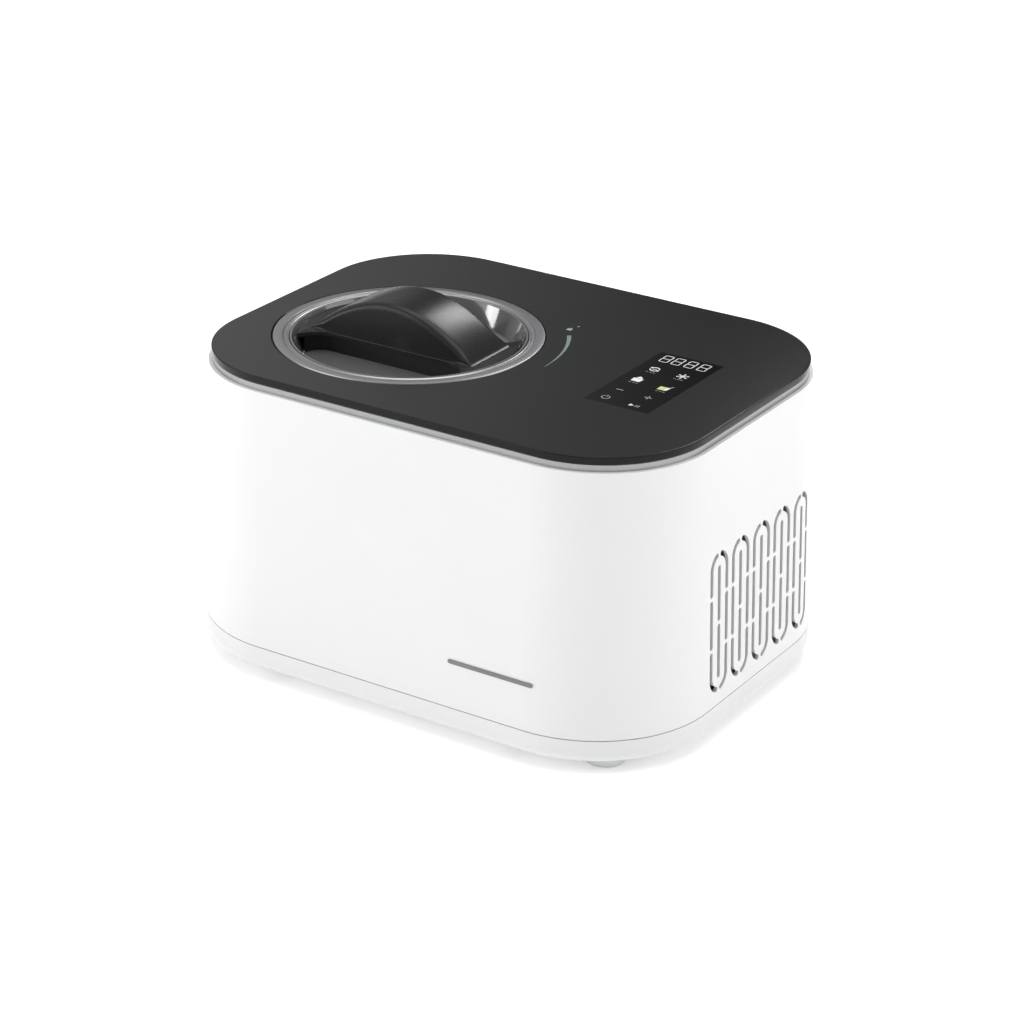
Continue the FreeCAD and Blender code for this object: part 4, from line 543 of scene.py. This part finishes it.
def handle_cover():
    """The black arched grip with flared ends."""
    end = HANDLE_REACH - END_GAP
    stations = [-end * math.cos(math.pi * step / STATION_COUNT) for step in range(STATION_COUNT + 1)]
    vertices = []
    rows = []
    for x in stations:
        side = handle_section(x)
        row = [(-y, z) for y, z in side] + [(y, z) for y, z in reversed(side[:-1])]
        first = len(vertices)
        for y, z in row:
            vertices.append((LID.x + x * MM, LID.y + y * MM, GLASS_Z + z * MM))
        rows.append(list(range(first, first + len(row))))
    faces = [tuple(rows[0]), tuple(reversed(rows[-1]))]
    for here, following in zip(rows, rows[1:]):
        for i in range(len(here)):
            j = (i + 1) % len(here)
            faces.append((here[i], following[i], following[j], here[j]))
    grip = add_mesh("handle_cover", vertices, faces, [MATERIALS["handle_black"]], "lid", 50.0)
    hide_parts("lid_handle")


# ---------------------------------------------------------------- stage, light and camera
FLOOR_SIDE = 14.0
FLOOR_GLOW_REACH = (0.35, 1.8)
FLOOR_GLOW = (0.24, 0.6)


def add_floor():
    """Pale paper that gives off a little light, more of it away from the machine."""
    mesh = bpy.data.meshes.new("floor")
    side = FLOOR_SIDE
    corners = [(-side, -side, 0), (side, -side, 0), (side, side, 0), (-side, side, 0)]
    mesh.from_pydata(corners, [], [(0, 1, 2, 3)])
    floor = bpy.data.objects.new("floor", mesh)
    bpy.context.scene.collection.objects.link(floor)
    paper = surface("floor_white", (0.93, 0.93, 0.93), 0.7, vary=0.002, cloud=2.0, grain=(60, 0.01),
                    Emission_Color=(1, 1, 1, 1))
    tree = paper.node_tree
    place = tree.nodes.new("ShaderNodeTexCoord")
    reach = tree.nodes.new("ShaderNodeVectorMath")
    reach.operation = "LENGTH"
    link(tree, place.outputs["Object"], reach.inputs[0])
    link(tree, spread(tree, reach.outputs["Value"], *FLOOR_GLOW_REACH, *FLOOR_GLOW),
         tree.nodes["Principled BSDF"].inputs["Emission Strength"])
    mesh.materials.append(paper)


VIEW_AZIMUTH = math.radians(32.41)
VIEW_ELEVATION = math.radians(24.14)
VIEW_ROLL = math.radians(0.82)
CAMERA_PLACE = Vector((1.0143, -1.5929, 0.9430))
LENS = 105.8
SENSOR = 36.0
CLIP_END = 60.0


def add_camera():
    az, el, roll = VIEW_AZIMUTH, VIEW_ELEVATION, VIEW_ROLL
    back = Vector((math.sin(az) * math.cos(el), -math.cos(az) * math.cos(el), math.sin(el)))
    right = Vector((math.cos(az), math.sin(az), 0.0))
    up = back.cross(right)
    rolled_right = right * math.cos(roll) + up * math.sin(roll)
    rolled_up = up * math.cos(roll) - right * math.sin(roll)
    rotation = Matrix((rolled_right, rolled_up, back)).transposed()
    data = bpy.data.cameras.new("camera")
    data.lens = LENS
    data.sensor_width = SENSOR
    data.clip_end = CLIP_END
    camera = bpy.data.objects.new("camera", data)
    camera.matrix_world = Matrix.Translation(CAMERA_PLACE) @ rotation.to_4x4()
    bpy.context.scene.collection.objects.link(camera)
    bpy.context.scene.camera = camera


MIDDLE = Vector((0.0, 0.0, 0.12))
# name, place, target, width, height (metres), power (watts)
LIGHTS = (
    ("left_softbox", (-1.5, -1.8, 1.3), MIDDLE, 1.7, 1.7, 18.5),
    ("right_softbox", (2.1, 0.7, 1.2), MIDDLE, 1.5, 1.5, 14.0),
    ("overhead_softbox", (0.1, 0.2, 2.6), MIDDLE, 2.4, 2.4, 36.0),
    ("back_softbox", (-0.11, 0.88, 0.91), LID, 0.28, 0.28, 3.2),
    ("low_strip", (-1.363, -0.828, 0.453), LID, 0.42, 0.12, 1.7),
)


def add_lights():
    for name, place, target, width, height, power in LIGHTS:
        data = bpy.data.lights.new(name, "AREA")
        data.shape = "RECTANGLE"
        data.size = width
        data.size_y = height
        data.energy = power
        light = bpy.data.objects.new(name, data)
        light.location = place
        light.rotation_euler = (target - Vector(place)).to_track_quat("-Z", "Y").to_euler()
        bpy.context.scene.collection.objects.link(light)


CORNER_AZIMUTH = math.radians(48.0)
FRONT_LEVEL = 0.48
CORNER_LEVEL = 0.2
BACK_LEVEL = 0.54
HORIZON_SHARE = 0.3


def add_world():
    """A studio bright in front and above, dimmer off the near corner, and dark behind, most to the right."""
    world = bpy.data.worlds.new("studio")
    world.use_nodes = True
    tree = world.node_tree
    background = tree.nodes["Background"]
    place = tree.nodes.new("ShaderNodeTexCoord")

    def along(x, y, z=0.0):
        dot = tree.nodes.new("ShaderNodeVectorMath")
        dot.operation = "DOT_PRODUCT"
        dot.inputs[1].default_value = (x, y, z)
        link(tree, place.outputs["Generated"], dot.inputs[0])
        return dot.outputs["Value"]

    def product(first, second):
        node = tree.nodes.new("ShaderNodeMath")
        node.operation = "MULTIPLY"
        link(tree, first, node.inputs[0])
        link(tree, second, node.inputs[1])
        return node.outputs[0]

    across, ahead = math.cos(VIEW_AZIMUTH), math.sin(VIEW_AZIMUTH)
    height = along(0.0, 0.0, 1.0)
    behind = product(spread(tree, along(-ahead, across), 0.05, 0.55, 0.0, 1.0),
                     spread(tree, height, 0.75, 0.95, 1.0, 0.0))
    back = product(spread(tree, along(across, ahead), -0.13, 0.09, BACK_LEVEL, 0.0),
                   spread(tree, height, 0.12, 0.33, HORIZON_SHARE, 1.0))
    toward_corner = along(math.sin(CORNER_AZIMUTH), -math.cos(CORNER_AZIMUTH))
    level = tree.nodes.new("ShaderNodeMix")
    link(tree, behind, level.inputs[0])
    link(tree, spread(tree, toward_corner, 0.62, 0.97, FRONT_LEVEL, CORNER_LEVEL), level.inputs[2])
    link(tree, back, level.inputs[3])
    link(tree, level.outputs[0], background.inputs["Strength"])
    background.inputs["Color"].default_value = (1, 1, 1, 1)
    bpy.context.scene.world = world
    bpy.context.scene.view_settings.view_transform = "Standard"


# ---------------------------------------------------------------- build
paint_nodes()
glass_plate()
window_pane()
bezel()
handle_cover()
display_marks()
lock_marks()
add_floor()
add_world()
add_lights()
add_camera()
